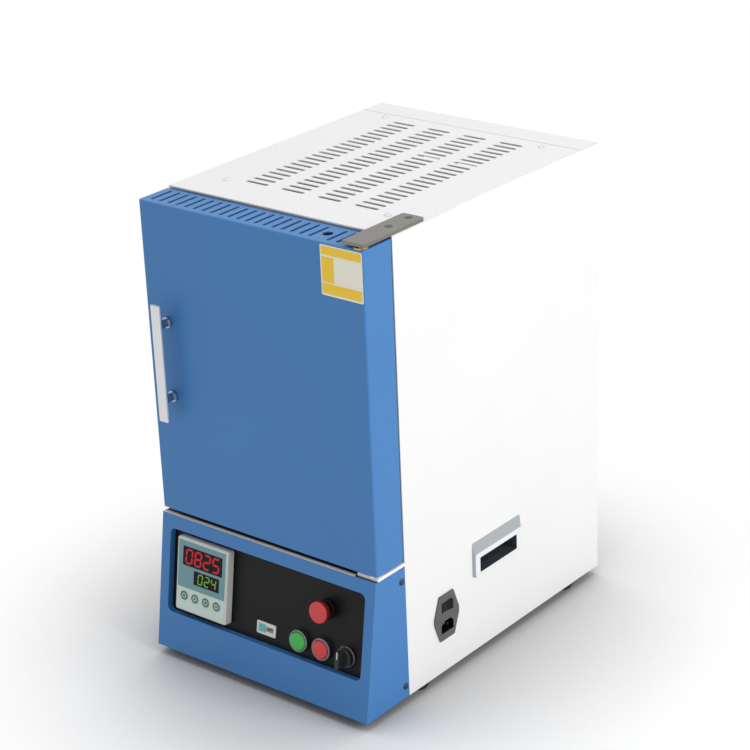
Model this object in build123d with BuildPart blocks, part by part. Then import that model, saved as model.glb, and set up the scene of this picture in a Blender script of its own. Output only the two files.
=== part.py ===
from build123d import *
import math
import os

os.makedirs("parts", exist_ok=True)

# Bench muffle furnace, in millimetres. X runs to the viewer's right, Y from front to back, Z up.
# The origin is on the floor, below the middle of the whole furnace.

# Case
case_width = 340
case_depth = 408
case_top = 599
foot_height = 12
sheet = 1.5
nest_gap = 0.3
flange = 14
cover_return = 54
tray_flange = 25

# Control housing under the door
housing_top = 187.5
housing_lead = 54.5
panel_tilt = 9
window_width = 312
window_height = 110.5
window_drop = 72.7
window_radius = 8
lip_depth = 9
lip_wall = 1.2

# Door
door_gap = 2.5
door_depth = 50
door_sill_gap = 10
door_crown_gap = 3
door_edge_radius = 2.5
liner_sheet = 1.2
pivot_side = 10
pivot_front = 10

# Muffle
chamber_width = 180
chamber_height = 180
chamber_depth = 270
insulation = 60
collar_depth = 20.5
mouth_size = 190
mouth_radius = 6
boss_size = 234
jacket_sheet = 1.2

# Vent slots and screws
slot_length = 35.5
slot_width = 4.5
slot_columns = 4
slot_column_pitch = 56
slot_rows = 22
slot_row_pitch = 13.5
screw_shank = 4
screw_head = 8
screw_head_height = 1.8
screw_play = 0.2

# Places that follow from the sizes above
tilt = math.radians(panel_tilt)
half_width = case_width / 2
inner_half = half_width - sheet - nest_gap
housing_height = housing_top - foot_height
housing_foot_lead = housing_lead + housing_height * math.tan(tilt)
front_y = (housing_foot_lead - case_depth - screw_head_height) / 2
rear_y = front_y + case_depth
mid_y = (front_y + rear_y) / 2
door_back_y = front_y - door_gap
door_front_y = door_back_y - door_depth
door_bottom = housing_top + door_sill_gap
door_top = case_top - door_crown_gap
door_height = door_top - door_bottom
door_mid_z = (door_top + door_bottom) / 2
panel = Plane(
    origin=(0, front_y - housing_lead, housing_top),
    x_dir=(1, 0, 0),
    z_dir=(0, -math.cos(tilt), math.sin(tilt)),
)


def rect(x_low, x_high, y_low, y_high, mode=Mode.ADD):
    """A rectangle between two pairs of sketch coordinates, in either order."""
    with Locations(((x_low + x_high) / 2, (y_low + y_high) / 2)):
        Rectangle(abs(x_high - x_low), abs(y_high - y_low), mode=mode)


def lathe(plane, outline, mode=Mode.ADD):
    """A turned solid: the outline's points are (radius, height), turned about the plane's own Z axis."""
    side_plane = Plane(origin=plane.origin, x_dir=plane.x_dir, z_dir=-plane.y_dir)
    with BuildSketch(side_plane) as profile:
        with BuildLine():
            Polyline(*outline, close=True)
        make_face()
    revolve(profile.sketch, axis=Axis(plane.origin, plane.z_dir), mode=mode)


def pan_screw(plane, length):
    """A pan-head screw that stands in its hole with the head on the plane."""
    shank = screw_shank / 2
    head = screw_head / 2
    crown = head - screw_head_height / 2
    lathe(plane, [
        (0, -length), (shank, -length), (shank, 0), (head, 0),
        (head, screw_head_height / 2), (crown, screw_head_height), (0, screw_head_height),
    ])


def flat_screw(plane, radius, head_radius, length):
    """A countersunk screw whose head is flush with the plane."""
    depth = head_radius - radius
    lathe(plane, [(0, -length), (radius, -length), (radius, -depth), (head_radius, 0), (0, 0)])


# Case screws and the holes they use
screw_hole = screw_shank / 2 + screw_play
cover_screw_x = 123
cover_screw_span = 304.5
cover_screw_rows = (mid_y - cover_screw_span / 2, mid_y + cover_screw_span / 2)
cover_screw_spots = [(x, y) for x in (-cover_screw_x, cover_screw_x) for y in cover_screw_rows]
rear_screw_x = half_width - flange / 2
rear_screw_heights = [foot_height + 22, (foot_height + case_top) / 2, case_top - 24]
rear_screw_spots = [(x, z) for x in (-rear_screw_x, rear_screw_x) for z in rear_screw_heights]
housing_screw_inset = 7
housing_screw_rise = 16
housing_screw_spots = [
    (front_y - housing_screw_inset, foot_height + housing_screw_rise),
    (front_y - housing_screw_inset, housing_top - 18.5),
]
foot_radius = 15
foot_x = half_width - foot_radius - 5
foot_front_y = front_y + 40
foot_back_y = rear_y - 56
foot_spots = [(x, y) for x in (-foot_x, foot_x) for y in (foot_front_y, foot_back_y)]

# Hinge plates, above the case and on the deck
hinge_plate_width = 31
hinge_plate_thickness = 4
hinge_plate_front = 49.5
hinge_plate_tail = 60
hinge_plate_radius = 4
pivot_x = half_width - pivot_side
pivot_y = door_front_y + pivot_front
hinge_edge_x = half_width - hinge_plate_width
hinge_screw_radius = 2.5
hinge_screw_head = 4.8
hinge_screw_length = 12
hinge_hole = hinge_screw_radius + screw_play
hinge_screw_x = hinge_edge_x + hinge_plate_width / 2
top_hinge_screw_spots = [(hinge_screw_x, front_y + 14), (hinge_screw_x, front_y + 50)]
bottom_tail = 44
bottom_tail_edge_x = inner_half - sheet - nest_gap
bottom_hinge_screw_spots = [(hinge_screw_x - 2, front_y + 14), (hinge_screw_x - 2, front_y + 34)]
pin_radius = 4
pin_seat = 3
pin_play = 0.02
bush_play = 0.05
bush_radius = 7
bush_flange_radius = 9
bush_flange = 2
bush_length = 14
collar_radius = 8
collar_play = 0.1

# Side fittings
grip_y = front_y + 182
grip_z = 137
grip_length = 98
grip_height = 44
grip_depth = 8
grip_wall = 1.5
grip_rim = 3
pocket_length = 76
pocket_height = 19
pocket_drop = 9
pocket_depth = 15
inlet_y = front_y + 76
inlet_z = 87
inlet_flange_width = 48
inlet_flange_height = 61
inlet_flange_neck = 28
inlet_flange_thickness = 2
inlet_body_width = 27
inlet_body_height = 47
inlet_body_depth = 24
inlet_ear_x = 20
inlet_screw_radius = 1.5
inlet_screw_head = 2.8

# Case panels: each side is one sheet with a rear return and a wide top return
def side_panel(side):
    wall_x = side * half_width
    with BuildPart() as skin:
        with BuildSketch(Plane.XY.offset(foot_height)):
            rect(wall_x, wall_x - side * sheet, front_y, rear_y - sheet)
            rect(wall_x, wall_x - side * flange, rear_y - 2 * sheet, rear_y - sheet)
        extrude(amount=case_top - sheet - foot_height)
        with BuildSketch(Plane.XY.offset(case_top - 2 * sheet)):
            rect(wall_x, wall_x - side * cover_return, front_y + sheet + nest_gap, rear_y - sheet)
            with Locations(*cover_screw_spots):
                Circle(screw_hole, mode=Mode.SUBTRACT)
            with Locations(*top_hinge_screw_spots):
                Circle(hinge_hole, mode=Mode.SUBTRACT)
        extrude(amount=sheet)
        with BuildSketch(Plane.XZ.offset(-rear_y)):
            with Locations(*rear_screw_spots):
                Circle(screw_hole)
        extrude(amount=3 * sheet, mode=Mode.SUBTRACT)
        with BuildSketch(Plane.YZ.offset(wall_x)):
            with Locations((grip_y, grip_z)):
                Rectangle(grip_length, grip_height)
            if side > 0:
                with Locations((inlet_y, inlet_z)):
                    Rectangle(inlet_body_width + 2 * nest_gap, inlet_body_height + 2 * nest_gap)
                with Locations((inlet_y - inlet_ear_x, inlet_z), (inlet_y + inlet_ear_x, inlet_z)):
                    Circle(inlet_screw_radius + screw_play)
        extrude(amount=-side * 2 * sheet, mode=Mode.SUBTRACT)
    return skin


side_panel_left = side_panel(-1)
side_panel_left.part.label = "side_panel_left"
export_step(side_panel_left.part, "parts/side_panel_left.step")

side_panel_right = side_panel(1)
side_panel_right.part.label = "side_panel_right"
export_step(side_panel_right.part, "parts/side_panel_right.step")

# Top cover with its field of cooling slots
with BuildPart() as top_cover:
    with BuildSketch(Plane.XY.offset(case_top - sheet)):
        rect(-half_width, half_width, front_y, rear_y)
        with Locations((0, mid_y)):
            with GridLocations(slot_column_pitch, slot_row_pitch, slot_columns, slot_rows):
                SlotOverall(slot_length, slot_width, mode=Mode.SUBTRACT)
        with Locations(*cover_screw_spots):
            Circle(screw_hole, mode=Mode.SUBTRACT)
        with Locations(*top_hinge_screw_spots):
            Circle(hinge_hole, mode=Mode.SUBTRACT)
    extrude(amount=sheet)
top_cover.part.label = "top_cover"
export_step(top_cover.part, "parts/top_cover.step")

# Rear panel, vented high and low
rear_vent_rows_high = 8
rear_vent_rows_low = 4
rear_vent_high_z = case_top - 110
rear_vent_low_z = foot_height + 90
with BuildPart() as rear_panel:
    with BuildSketch(Plane.XZ.offset(-rear_y)):
        rect(-half_width, half_width, foot_height, case_top - sheet)
        with Locations((0, rear_vent_high_z)):
            with GridLocations(slot_column_pitch, slot_row_pitch, slot_columns, rear_vent_rows_high):
                SlotOverall(slot_length, slot_width, mode=Mode.SUBTRACT)
        with Locations((0, rear_vent_low_z)):
            with GridLocations(slot_column_pitch, slot_row_pitch, slot_columns, rear_vent_rows_low):
                SlotOverall(slot_length, slot_width, mode=Mode.SUBTRACT)
        with Locations(*rear_screw_spots):
            Circle(screw_hole, mode=Mode.SUBTRACT)
    extrude(amount=sheet)
rear_panel.part.label = "rear_panel"
export_step(rear_panel.part, "parts/rear_panel.step")

# Base plate: a tray whose side flanges also reach forward to hold the control housing
tray_back_y = rear_y - 2 * sheet - nest_gap
tab_reach = 14
base_vent_rows = 6
with BuildPart() as base_plate:
    with BuildSketch(Plane.XY.offset(foot_height)):
        rect(-inner_half, inner_half, front_y + nest_gap, tray_back_y)
        with Locations((0, mid_y)):
            with GridLocations(slot_column_pitch, 2 * slot_row_pitch, slot_columns, base_vent_rows):
                SlotOverall(slot_length, slot_width, mode=Mode.SUBTRACT)
        with Locations(*foot_spots):
            Circle(screw_hole, mode=Mode.SUBTRACT)
    extrude(amount=sheet)
    for side in (-1, 1):
        with BuildSketch(Plane.YZ.offset(side * inner_half)):
            rect(front_y + nest_gap, tray_back_y, foot_height, foot_height + tray_flange)
            rect(front_y - tab_reach, front_y + nest_gap, foot_height + 2 * sheet, foot_height + tray_flange)
            with Locations(*housing_screw_spots):
                Circle(screw_hole, mode=Mode.SUBTRACT)
        extrude(amount=-side * sheet)
base_plate.part.label = "base_plate"
export_step(base_plate.part, "parts/base_plate.step")

# Deck: the shelf between the electronics and the muffle, which also roofs the control housing
deck_front_y = front_y - housing_lead + sheet / math.cos(tilt) + nest_gap
with BuildPart() as deck_plate:
    with BuildSketch(Plane.XY.offset(housing_top - sheet)):
        rect(-inner_half, inner_half, deck_front_y, tray_back_y)
        with Locations(*bottom_hinge_screw_spots):
            Circle(hinge_hole, mode=Mode.SUBTRACT)
    extrude(amount=sheet)
    for side in (-1, 1):
        with BuildSketch(Plane.YZ.offset(side * inner_half)):
            rect(front_y - 2 * tab_reach, tray_back_y, housing_top - tray_flange, housing_top)
            with Locations(*housing_screw_spots):
                Circle(screw_hole, mode=Mode.SUBTRACT)
        extrude(amount=-side * sheet)
deck_plate.part.label = "deck_plate"
export_step(deck_plate.part, "parts/deck_plate.step")

# Rubber feet, dished under the screw
foot_bore = screw_hole
foot_taper = 2
with BuildPart() as feet:
    for x, y in foot_spots:
        lathe(Plane((x, y, 0)), [
            (foot_radius / 2, 2), (foot_radius / 2, 0), (foot_radius - foot_taper, 0),
            (foot_radius, foot_height / 3), (foot_radius, foot_height),
            (foot_bore, foot_height), (foot_bore, 2),
        ])
feet.part.label = "feet"
export_step(feet.part, "parts/feet.step")

# Identical pan-head screws of the cover, rear panel, control housing and feet
side_screw_length = 6
foot_screw_length = 9
with BuildPart() as case_screws:
    for x, y in cover_screw_spots:
        pan_screw(Plane((x, y, case_top)), side_screw_length)
    for x, z in rear_screw_spots:
        pan_screw(Plane((x, rear_y, z), x_dir=(1, 0, 0), z_dir=(0, 1, 0)), side_screw_length)
    for side in (-1, 1):
        for y, z in housing_screw_spots:
            side_plane = Plane((side * half_width, y, z), x_dir=(0, 1, 0), z_dir=(side, 0, 0))
            pan_screw(side_plane, side_screw_length)
    for x, y in foot_spots:
        pan_screw(Plane((x, y, foot_height + sheet)), foot_screw_length)
case_screws.part.label = "case_screws"
export_step(case_screws.part, "parts/case_screws.step")

# Front frame: the bulkhead that the door closes on, holed for the collar and the catch
magnet_inset = 11
magnet_x = -(half_width - magnet_inset)
magnet_width = 10
magnet_height = 46
magnet_reach = door_gap - nest_gap
magnet_back = 3
magnet_lip = 2
frame_return = 14
frame_bottom = housing_top + nest_gap
hinge_notch_top = housing_top + hinge_plate_thickness + nest_gap
boss_hole = boss_size + 2 * nest_gap
with BuildPart() as front_frame:
    with BuildSketch(Plane.XZ.offset(-front_y)):
        rect(-inner_half, inner_half, frame_bottom, case_top - sheet)
        rect(hinge_edge_x - nest_gap, inner_half, frame_bottom, hinge_notch_top, mode=Mode.SUBTRACT)
        with Locations((0, door_mid_z)):
            RectangleRounded(boss_hole, boss_hole, mouth_radius + nest_gap, mode=Mode.SUBTRACT)
        with Locations((magnet_x, door_mid_z)):
            Rectangle(magnet_width + 2 * nest_gap, magnet_height + 2 * nest_gap, mode=Mode.SUBTRACT)
    extrude(amount=-sheet)
    with BuildSketch(Plane.XY.offset(hinge_notch_top + nest_gap)):
        for side in (-1, 1):
            rect(side * inner_half, side * (inner_half - sheet), front_y, front_y + frame_return)
    extrude(amount=case_top - 2 * sheet - nest_gap - hinge_notch_top - nest_gap)
front_frame.part.label = "front_frame"
export_step(front_frame.part, "parts/front_frame.step")

# Magnetic catch, lipped behind the frame
with BuildPart() as catch_magnet:
    with BuildSketch(Plane.XZ.offset(-(front_y - magnet_reach))):
        with Locations((magnet_x, door_mid_z)):
            Rectangle(magnet_width, magnet_height)
    extrude(amount=-(magnet_reach + sheet + magnet_back))
    with BuildSketch(Plane.XZ.offset(-(front_y + sheet))):
        with Locations((magnet_x, door_mid_z)):
            Rectangle(magnet_width + magnet_lip, magnet_height + 4 * magnet_lip)
    extrude(amount=-magnet_back)
catch_magnet.part.label = "catch_magnet"
export_step(catch_magnet.part, "parts/catch_magnet.step")

# Mouth collar: a stepped ceramic ring, its boss flush with the front frame
boards_y = front_y + sheet + collar_depth
block_width = chamber_width + 2 * insulation
block_height = chamber_height + 2 * insulation
with BuildPart() as mouth_collar:
    with BuildSketch(Plane.XZ.offset(-boards_y)):
        with Locations((0, door_mid_z)):
            Rectangle(block_width, block_height)
    extrude(amount=collar_depth)
    with BuildSketch(Plane.XZ.offset(-(front_y + sheet))):
        with Locations((0, door_mid_z)):
            RectangleRounded(boss_size, boss_size, mouth_radius)
    extrude(amount=sheet)
    with BuildSketch(Plane.XZ.offset(-front_y)):
        with Locations((0, door_mid_z)):
            RectangleRounded(mouth_size, mouth_size, mouth_radius)
    extrude(amount=-(collar_depth + sheet), mode=Mode.SUBTRACT)
mouth_collar.part.label = "mouth_collar"
export_step(mouth_collar.part, "parts/mouth_collar.step")

# Heating element path, shared by the coils, the grooves and the lead holes
element_radius = 5.5
element_inset = 5
element_play = 1
element_pitch = 40
element_runs = 4
element_front = boards_y + 22
element_turn = boards_y + chamber_depth - 22
element_x = chamber_width / 2 + element_inset
back_y = boards_y + chamber_depth
jacket_back_y = back_y + insulation + jacket_sheet
lead_end = jacket_back_y + 12
run_heights = [door_mid_z + element_pitch * ((element_runs - 1) / 2 - i) for i in range(element_runs)]


def element_route():
    """Corner points of the hairpin: out of the back, to and fro, and out of the back again."""
    points = [(lead_end, run_heights[0])]
    for i, z in enumerate(run_heights[:-1]):
        turn = element_front if i % 2 == 0 else element_turn
        points += [(turn, z), (turn, run_heights[i + 1])]
    return points + [(lead_end, run_heights[-1])]


def element_tube(side, radius, mode=Mode.ADD):
    with BuildLine(Plane.YZ.offset(side * element_x)) as route:
        FilletPolyline(*element_route(), radius=element_pitch / 2 - 0.1)
    lead_plane = Plane((side * element_x, lead_end, run_heights[0]), x_dir=(1, 0, 0), z_dir=(0, -1, 0))
    with BuildSketch(lead_plane) as section:
        Circle(radius)
    sweep(section.sketch, path=route.line, mode=mode)


with BuildPart() as heating_elements:
    for side in (-1, 1):
        element_tube(side, element_radius)
heating_elements.part.label = "heating_elements"
export_step(heating_elements.part, "parts/heating_elements.step")

# Insulation boards round the chamber: side boards grooved for the elements, between floor and roof
with BuildPart() as wall_boards:
    for side in (-1, 1):
        with BuildSketch(Plane.XZ.offset(-boards_y)):
            rect(side * chamber_width / 2, side * block_width / 2,
                 door_mid_z - chamber_height / 2, door_mid_z + chamber_height / 2)
        extrude(amount=-chamber_depth)
        element_tube(side, element_radius + element_play, mode=Mode.SUBTRACT)
wall_boards.part.label = "wall_boards"
export_step(wall_boards.part, "parts/wall_boards.step")


def flat_board(z_low):
    with BuildPart() as board:
        with BuildSketch(Plane.XY.offset(z_low)):
            rect(-block_width / 2, block_width / 2, boards_y, back_y)
        extrude(amount=insulation)
    return board


floor_z = door_mid_z - chamber_height / 2
hearth_board = flat_board(floor_z - insulation)
hearth_board.part.label = "hearth_board"
export_step(hearth_board.part, "parts/hearth_board.step")

roof_board = flat_board(floor_z + chamber_height)
roof_board.part.label = "roof_board"
export_step(roof_board.part, "parts/roof_board.step")

sheath_radius = 4
sheath_play = 0.3
sheath_z = door_mid_z + 40
sheath_reach = 40
lead_spots = [(x, z) for x in (-element_x, element_x) for z in (run_heights[0], run_heights[-1])]


def back_wall_holes():
    with Locations(*lead_spots):
        Circle(element_radius + element_play, mode=Mode.SUBTRACT)
    with Locations((0, sheath_z)):
        Circle(sheath_radius + sheath_play, mode=Mode.SUBTRACT)


with BuildPart() as back_board:
    with BuildSketch(Plane.XZ.offset(-back_y)):
        with Locations((0, door_mid_z)):
            Rectangle(block_width, block_height)
        back_wall_holes()
    extrude(amount=-insulation)
back_board.part.label = "back_board"
export_step(back_board.part, "parts/back_board.step")

# Ceramic hearth plate on the chamber floor
hearth_thickness = 8
hearth_margin = 5
with BuildPart() as hearth_plate:
    with BuildSketch(Plane.XY.offset(floor_z)):
        rect(-chamber_width / 2 + hearth_margin, chamber_width / 2 - hearth_margin,
             boards_y + hearth_margin, back_y - hearth_margin)
    extrude(amount=hearth_thickness)
    chamfer(hearth_plate.edges().filter_by(Axis.Z), length=4)
hearth_plate.part.label = "hearth_plate"
export_step(hearth_plate.part, "parts/hearth_plate.step")

# Thermocouple: a closed ceramic sheath and its terminal head behind the jacket
head_size = 34
head_depth = 18
with BuildPart() as thermocouple_sheath:
    tip_y = back_y - sheath_reach
    with BuildSketch(Plane.XZ.offset(-(jacket_back_y + head_depth / 2))):
        with Locations((0, sheath_z)):
            Circle(sheath_radius)
    extrude(amount=jacket_back_y + head_depth / 2 - tip_y)
    tip_edge = thermocouple_sheath.edges().filter_by(GeomType.CIRCLE).sort_by(Axis.Y)[0]
    fillet(tip_edge, radius=sheath_radius - 0.5)
thermocouple_sheath.part.label = "thermocouple_sheath"
export_step(thermocouple_sheath.part, "parts/thermocouple_sheath.step")

with BuildPart() as thermocouple_head:
    with BuildSketch(Plane.XZ.offset(-(jacket_back_y + nest_gap))):
        with Locations((0, sheath_z)):
            RectangleRounded(head_size, head_size * 0.7, 3)
    extrude(amount=-head_depth)
    with BuildSketch(Plane.XZ.offset(-(jacket_back_y + nest_gap))):
        with Locations((0, sheath_z)):
            Circle(sheath_radius + bush_play)
    extrude(amount=-(head_depth / 2 - nest_gap), mode=Mode.SUBTRACT)
thermocouple_head.part.label = "thermocouple_head"
export_step(thermocouple_head.part, "parts/thermocouple_head.step")

# Muffle jacket: the inner steel box round the boards, open at the front
with BuildPart() as muffle_jacket:
    with BuildSketch(Plane.XZ.offset(-jacket_back_y)):
        with Locations((0, door_mid_z)):
            Rectangle(block_width + 2 * jacket_sheet, block_height + 2 * jacket_sheet)
        back_wall_holes()
    extrude(amount=jacket_back_y - front_y - sheet)
    with BuildSketch(Plane.XZ.offset(-(front_y + sheet))):
        with Locations((0, door_mid_z)):
            Rectangle(block_width, block_height)
    extrude(amount=-(jacket_back_y - jacket_sheet - front_y - sheet), mode=Mode.SUBTRACT)
muffle_jacket.part.label = "muffle_jacket"
export_step(muffle_jacket.part, "parts/muffle_jacket.step")

# Two channel rails that stand on the deck and carry the jacket
rail_width = 28
rail_x = 95
rail_top = door_mid_z - block_height / 2 - jacket_sheet
with BuildPart() as jacket_rails:
    with BuildSketch(Plane.XZ.offset(-(front_y + frame_return + 30))):
        for side in (-1, 1):
            rail_in = side * rail_x
            rail_out = side * (rail_x + rail_width)
            rect(rail_in, rail_in + side * sheet, housing_top, rail_top)
            rect(rail_in, rail_out, housing_top, housing_top + sheet)
            rect(rail_in, rail_out, rail_top - sheet, rail_top)
    extrude(amount=-(jacket_back_y - front_y - frame_return - 50))
jacket_rails.part.label = "jacket_rails"
export_step(jacket_rails.part, "parts/jacket_rails.step")

# Control housing: a tilted front, two sides and a floor, open above and behind
lip_size = (window_width + 2 * lip_wall, window_height + 2 * lip_wall)
with BuildPart() as control_housing:
    with BuildSketch(Plane.YZ.offset(-half_width)):
        with BuildLine():
            Polyline(
                (front_y, foot_height),
                (front_y - housing_foot_lead, foot_height),
                (front_y - housing_lead, housing_top),
                (front_y, housing_top),
                close=True,
            )
        make_face()
    extrude(amount=case_width)
    back_opening = control_housing.faces().sort_by(Axis.Y)[-1]
    top_opening = control_housing.faces().sort_by(Axis.Z)[-1]
    offset(amount=-sheet, openings=[back_opening, top_opening])
    with BuildSketch(panel):
        with Locations((0, -window_drop)):
            RectangleRounded(*lip_size, window_radius + lip_wall)
    extrude(amount=-lip_depth)
    with BuildSketch(panel):
        with Locations((0, -window_drop)):
            RectangleRounded(window_width, window_height, window_radius)
    extrude(amount=-2 * lip_depth, mode=Mode.SUBTRACT)
    with BuildSketch(Plane.YZ.offset(-half_width)):
        with Locations(*housing_screw_spots):
            Circle(screw_hole)
    extrude(amount=case_width, mode=Mode.SUBTRACT)
control_housing.part.label = "control_housing"
export_step(control_housing.part, "parts/control_housing.step")

# Fascia behind the window, with one cut-out for each control
fascia_margin = 5
fascia_thickness = 2
fascia_face = Plane(origin=panel.origin - panel.z_dir * lip_depth, x_dir=panel.x_dir, z_dir=panel.z_dir)
controller_width = 84
controller_height = 96
controller_x = -98
controller_drop = 71
controller_proud = 13
controller_body_width = 76
controller_body_height = 90
controller_body_depth = 62
button_row = 107
button_pitch = 35.5
start_x = 55.5
stop_x = start_x + button_pitch
selector_x = stop_x + button_pitch
estop_x = stop_x + 2
estop_drop = 56
barrel_radius = 11
port_x = 1
port_drop = 109
port_width = 26
port_height = 12
button_spots = [(x, -button_row) for x in (start_x, stop_x, selector_x)] + [(estop_x, -estop_drop)]
controller_hole = (controller_body_width + 2 * nest_gap, controller_body_height + 2 * nest_gap)
with BuildPart() as fascia_panel:
    with BuildSketch(fascia_face):
        with Locations((0, -window_drop)):
            Rectangle(window_width + 2 * fascia_margin, window_height + 2 * fascia_margin)
        with Locations((controller_x, -controller_drop)):
            Rectangle(*controller_hole, mode=Mode.SUBTRACT)
        with Locations((port_x, -port_drop)):
            Rectangle(port_width + 2 * nest_gap, port_height + 2 * nest_gap, mode=Mode.SUBTRACT)
        with Locations(*button_spots):
            Circle(barrel_radius + nest_gap, mode=Mode.SUBTRACT)
    extrude(amount=-fascia_thickness)
fascia_panel.part.label = "fascia_panel"
export_step(fascia_panel.part, "parts/fascia_panel.step")


def on_panel(x, drop, height=0):
    """A plane on the fascia's face, at a place given across and down it, raised by a height."""
    shift = fascia_face.x_dir * x - fascia_face.y_dir * drop + fascia_face.z_dir * height
    return Plane(origin=fascia_face.origin + shift, x_dir=fascia_face.x_dir, z_dir=fascia_face.z_dir)


# Temperature controller: body, face plate, two display lenses and four keys
face_margin = 3.5
face_thickness = 1.2
face_height = 58
face_drop = controller_drop - controller_height / 2 + face_margin + face_height / 2
key_radius = 5.4
key_play = 0.25
key_depth = 3
key_proud = 0.9
key_travel = 0.8
key_pitch = 18
key_drop = controller_drop + 27
upper_lens = (60, 24)
lower_lens = (38, 17)
lens_x = controller_x + 1
upper_lens_drop = face_drop - 11
lower_lens_drop = face_drop + 13
lens_recess = 0.6
lens_thickness = 1.4
bezel_edge = 1.5
key_spots = [controller_x + key_pitch * (i - 1.5) for i in range(4)]
with BuildPart() as controller_case:
    with BuildSketch(on_panel(controller_x, controller_drop)):
        RectangleRounded(controller_width, controller_height, 3)
    extrude(amount=controller_proud)
    chamfer(controller_case.faces().sort_by(Axis.Y)[0].edges(), length=bezel_edge)
    with BuildSketch(on_panel(controller_x, controller_drop)):
        Rectangle(controller_body_width, controller_body_height)
    extrude(amount=-controller_body_depth)
    with BuildSketch(on_panel(controller_x, face_drop, controller_proud)):
        Rectangle(controller_width - 2 * face_margin, face_height)
    extrude(amount=-face_thickness - lens_thickness, mode=Mode.SUBTRACT)
    for x in key_spots:
        with BuildSketch(on_panel(x, key_drop, controller_proud)):
            Circle(key_radius + key_play)
        extrude(amount=-(key_depth + key_travel + nest_gap), mode=Mode.SUBTRACT)
controller_case.part.label = "controller_case"
export_step(controller_case.part, "parts/controller_case.step")

with BuildPart() as controller_face:
    with BuildSketch(on_panel(controller_x, face_drop, controller_proud - face_thickness)):
        Rectangle(controller_width - 2 * face_margin - nest_gap, face_height - nest_gap)
        with Locations((lens_x - controller_x, face_drop - upper_lens_drop)):
            Rectangle(*upper_lens, mode=Mode.SUBTRACT)
        with Locations((lens_x - controller_x, face_drop - lower_lens_drop)):
            Rectangle(*lower_lens, mode=Mode.SUBTRACT)
    extrude(amount=face_thickness)
controller_face.part.label = "controller_face"
export_step(controller_face.part, "parts/controller_face.step")

with BuildPart() as display_lenses:
    for size, drop in ((upper_lens, upper_lens_drop), (lower_lens, lower_lens_drop)):
        with BuildSketch(on_panel(lens_x, drop, controller_proud - face_thickness - lens_thickness)):
            Rectangle(size[0] - 2 * key_play, size[1] - 2 * key_play)
        extrude(amount=face_thickness + lens_thickness - lens_recess)
display_lenses.part.label = "display_lenses"
export_step(display_lenses.part, "parts/display_lenses.step")

for i, x in enumerate(key_spots):
    with BuildPart() as controller_key:
        with BuildSketch(on_panel(x, key_drop, controller_proud - key_depth)):
            Circle(key_radius)
        extrude(amount=key_depth + key_proud)
        fillet(controller_key.edges().filter_by(GeomType.CIRCLE).sort_by(Axis.Y)[0], radius=0.4)
    controller_key.part.label = f"controller_key_{i + 1}"
    export_step(controller_key.part, f"parts/controller_key_{i + 1}.step")

# Data port with an open socket
port_flange = 2
port_flange_thickness = 1.5
port_depth = 15
socket_width = 13
socket_height = 6.5
socket_depth = 11
socket_x = 5
with BuildPart() as data_port:
    with BuildSketch(on_panel(port_x, port_drop)):
        RectangleRounded(port_width + 2 * port_flange, port_height + 2 * port_flange, 1.5)
    extrude(amount=port_flange_thickness)
    with BuildSketch(on_panel(port_x, port_drop)):
        Rectangle(port_width, port_height)
    extrude(amount=-port_depth)
    with BuildSketch(on_panel(port_x + socket_x, port_drop, port_flange_thickness)):
        Rectangle(socket_width, socket_height)
    extrude(amount=-socket_depth, mode=Mode.SUBTRACT)
data_port.part.label = "data_port"
export_step(data_port.part, "parts/data_port.step")

# Push buttons: a ring and barrel in the fascia, a contact block behind, a domed cap that travels
ring_radius = 13.5
ring_height = 4
cap_play = 0.25
cap_proud = 2.5
cap_depth = 6
button_travel = 3
block_side = 26
block_depth = 34
barrel_depth = 12


def control_base(plane, ring, height, bore, bore_depth):
    """Ring on the fascia, barrel through it and contact block behind, bored for its moving piece."""
    shoulder = ring - 1.2
    lathe(plane, [
        (0, -barrel_depth), (barrel_radius, -barrel_depth), (barrel_radius, 0), (ring, 0),
        (ring, height - 1.2), (shoulder, height), (0, height),
    ])
    with BuildSketch(plane.offset(-barrel_depth)) as block:
        RectangleRounded(block_side, block_side, 2)
    extrude(block.sketch, amount=-block_depth)
    with BuildSketch(plane.offset(height)) as opening:
        Circle(bore)
    extrude(opening.sketch, amount=-bore_depth, mode=Mode.SUBTRACT)


cap_bore = 9.6
cap_well = cap_depth + button_travel + nest_gap
for name, x in (("start_button", start_x), ("stop_button", stop_x)):
    with BuildPart() as button_base:
        control_base(on_panel(x, button_row), ring_radius, ring_height, cap_bore, cap_well)
    button_base.part.label = f"{name}_base"
    export_step(button_base.part, f"parts/{name}_base.step")
    with BuildPart() as button_cap:
        cap_radius = cap_bore - cap_play
        lathe(on_panel(x, button_row, ring_height), [
            (0, -cap_depth), (cap_radius, -cap_depth), (cap_radius, cap_proud * 0.4),
            (cap_radius * 0.86, cap_proud * 0.8), (cap_radius * 0.5, cap_proud), (0, cap_proud),
        ])
    button_cap.part.label = f"{name}_cap"
    export_step(button_cap.part, f"parts/{name}_cap.step")

# Emergency stop: base, sliding stem, and a mushroom head that twists on the stem to release
estop_ring = 12.5
estop_ring_height = 3.5
stem_radius = 7
stem_play = 0.1
stem_depth = 10
estop_travel = 4
head_radius = 14
head_gap = 5
head_height = 9.5
spigot_radius = 3
spigot_height = 5
with BuildPart() as estop_base:
    control_base(
        on_panel(estop_x, estop_drop), estop_ring, estop_ring_height,
        stem_radius + stem_play, stem_depth + estop_travel + nest_gap,
    )
estop_base.part.label = "estop_base"
export_step(estop_base.part, "parts/estop_base.step")

with BuildPart() as estop_stem:
    lathe(on_panel(estop_x, estop_drop, estop_ring_height), [
        (0, -stem_depth), (stem_radius, -stem_depth), (stem_radius, head_gap - nest_gap),
        (spigot_radius, head_gap - nest_gap), (spigot_radius, head_gap + spigot_height),
        (0, head_gap + spigot_height),
    ])
estop_stem.part.label = "estop_stem"
export_step(estop_stem.part, "parts/estop_stem.step")

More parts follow.
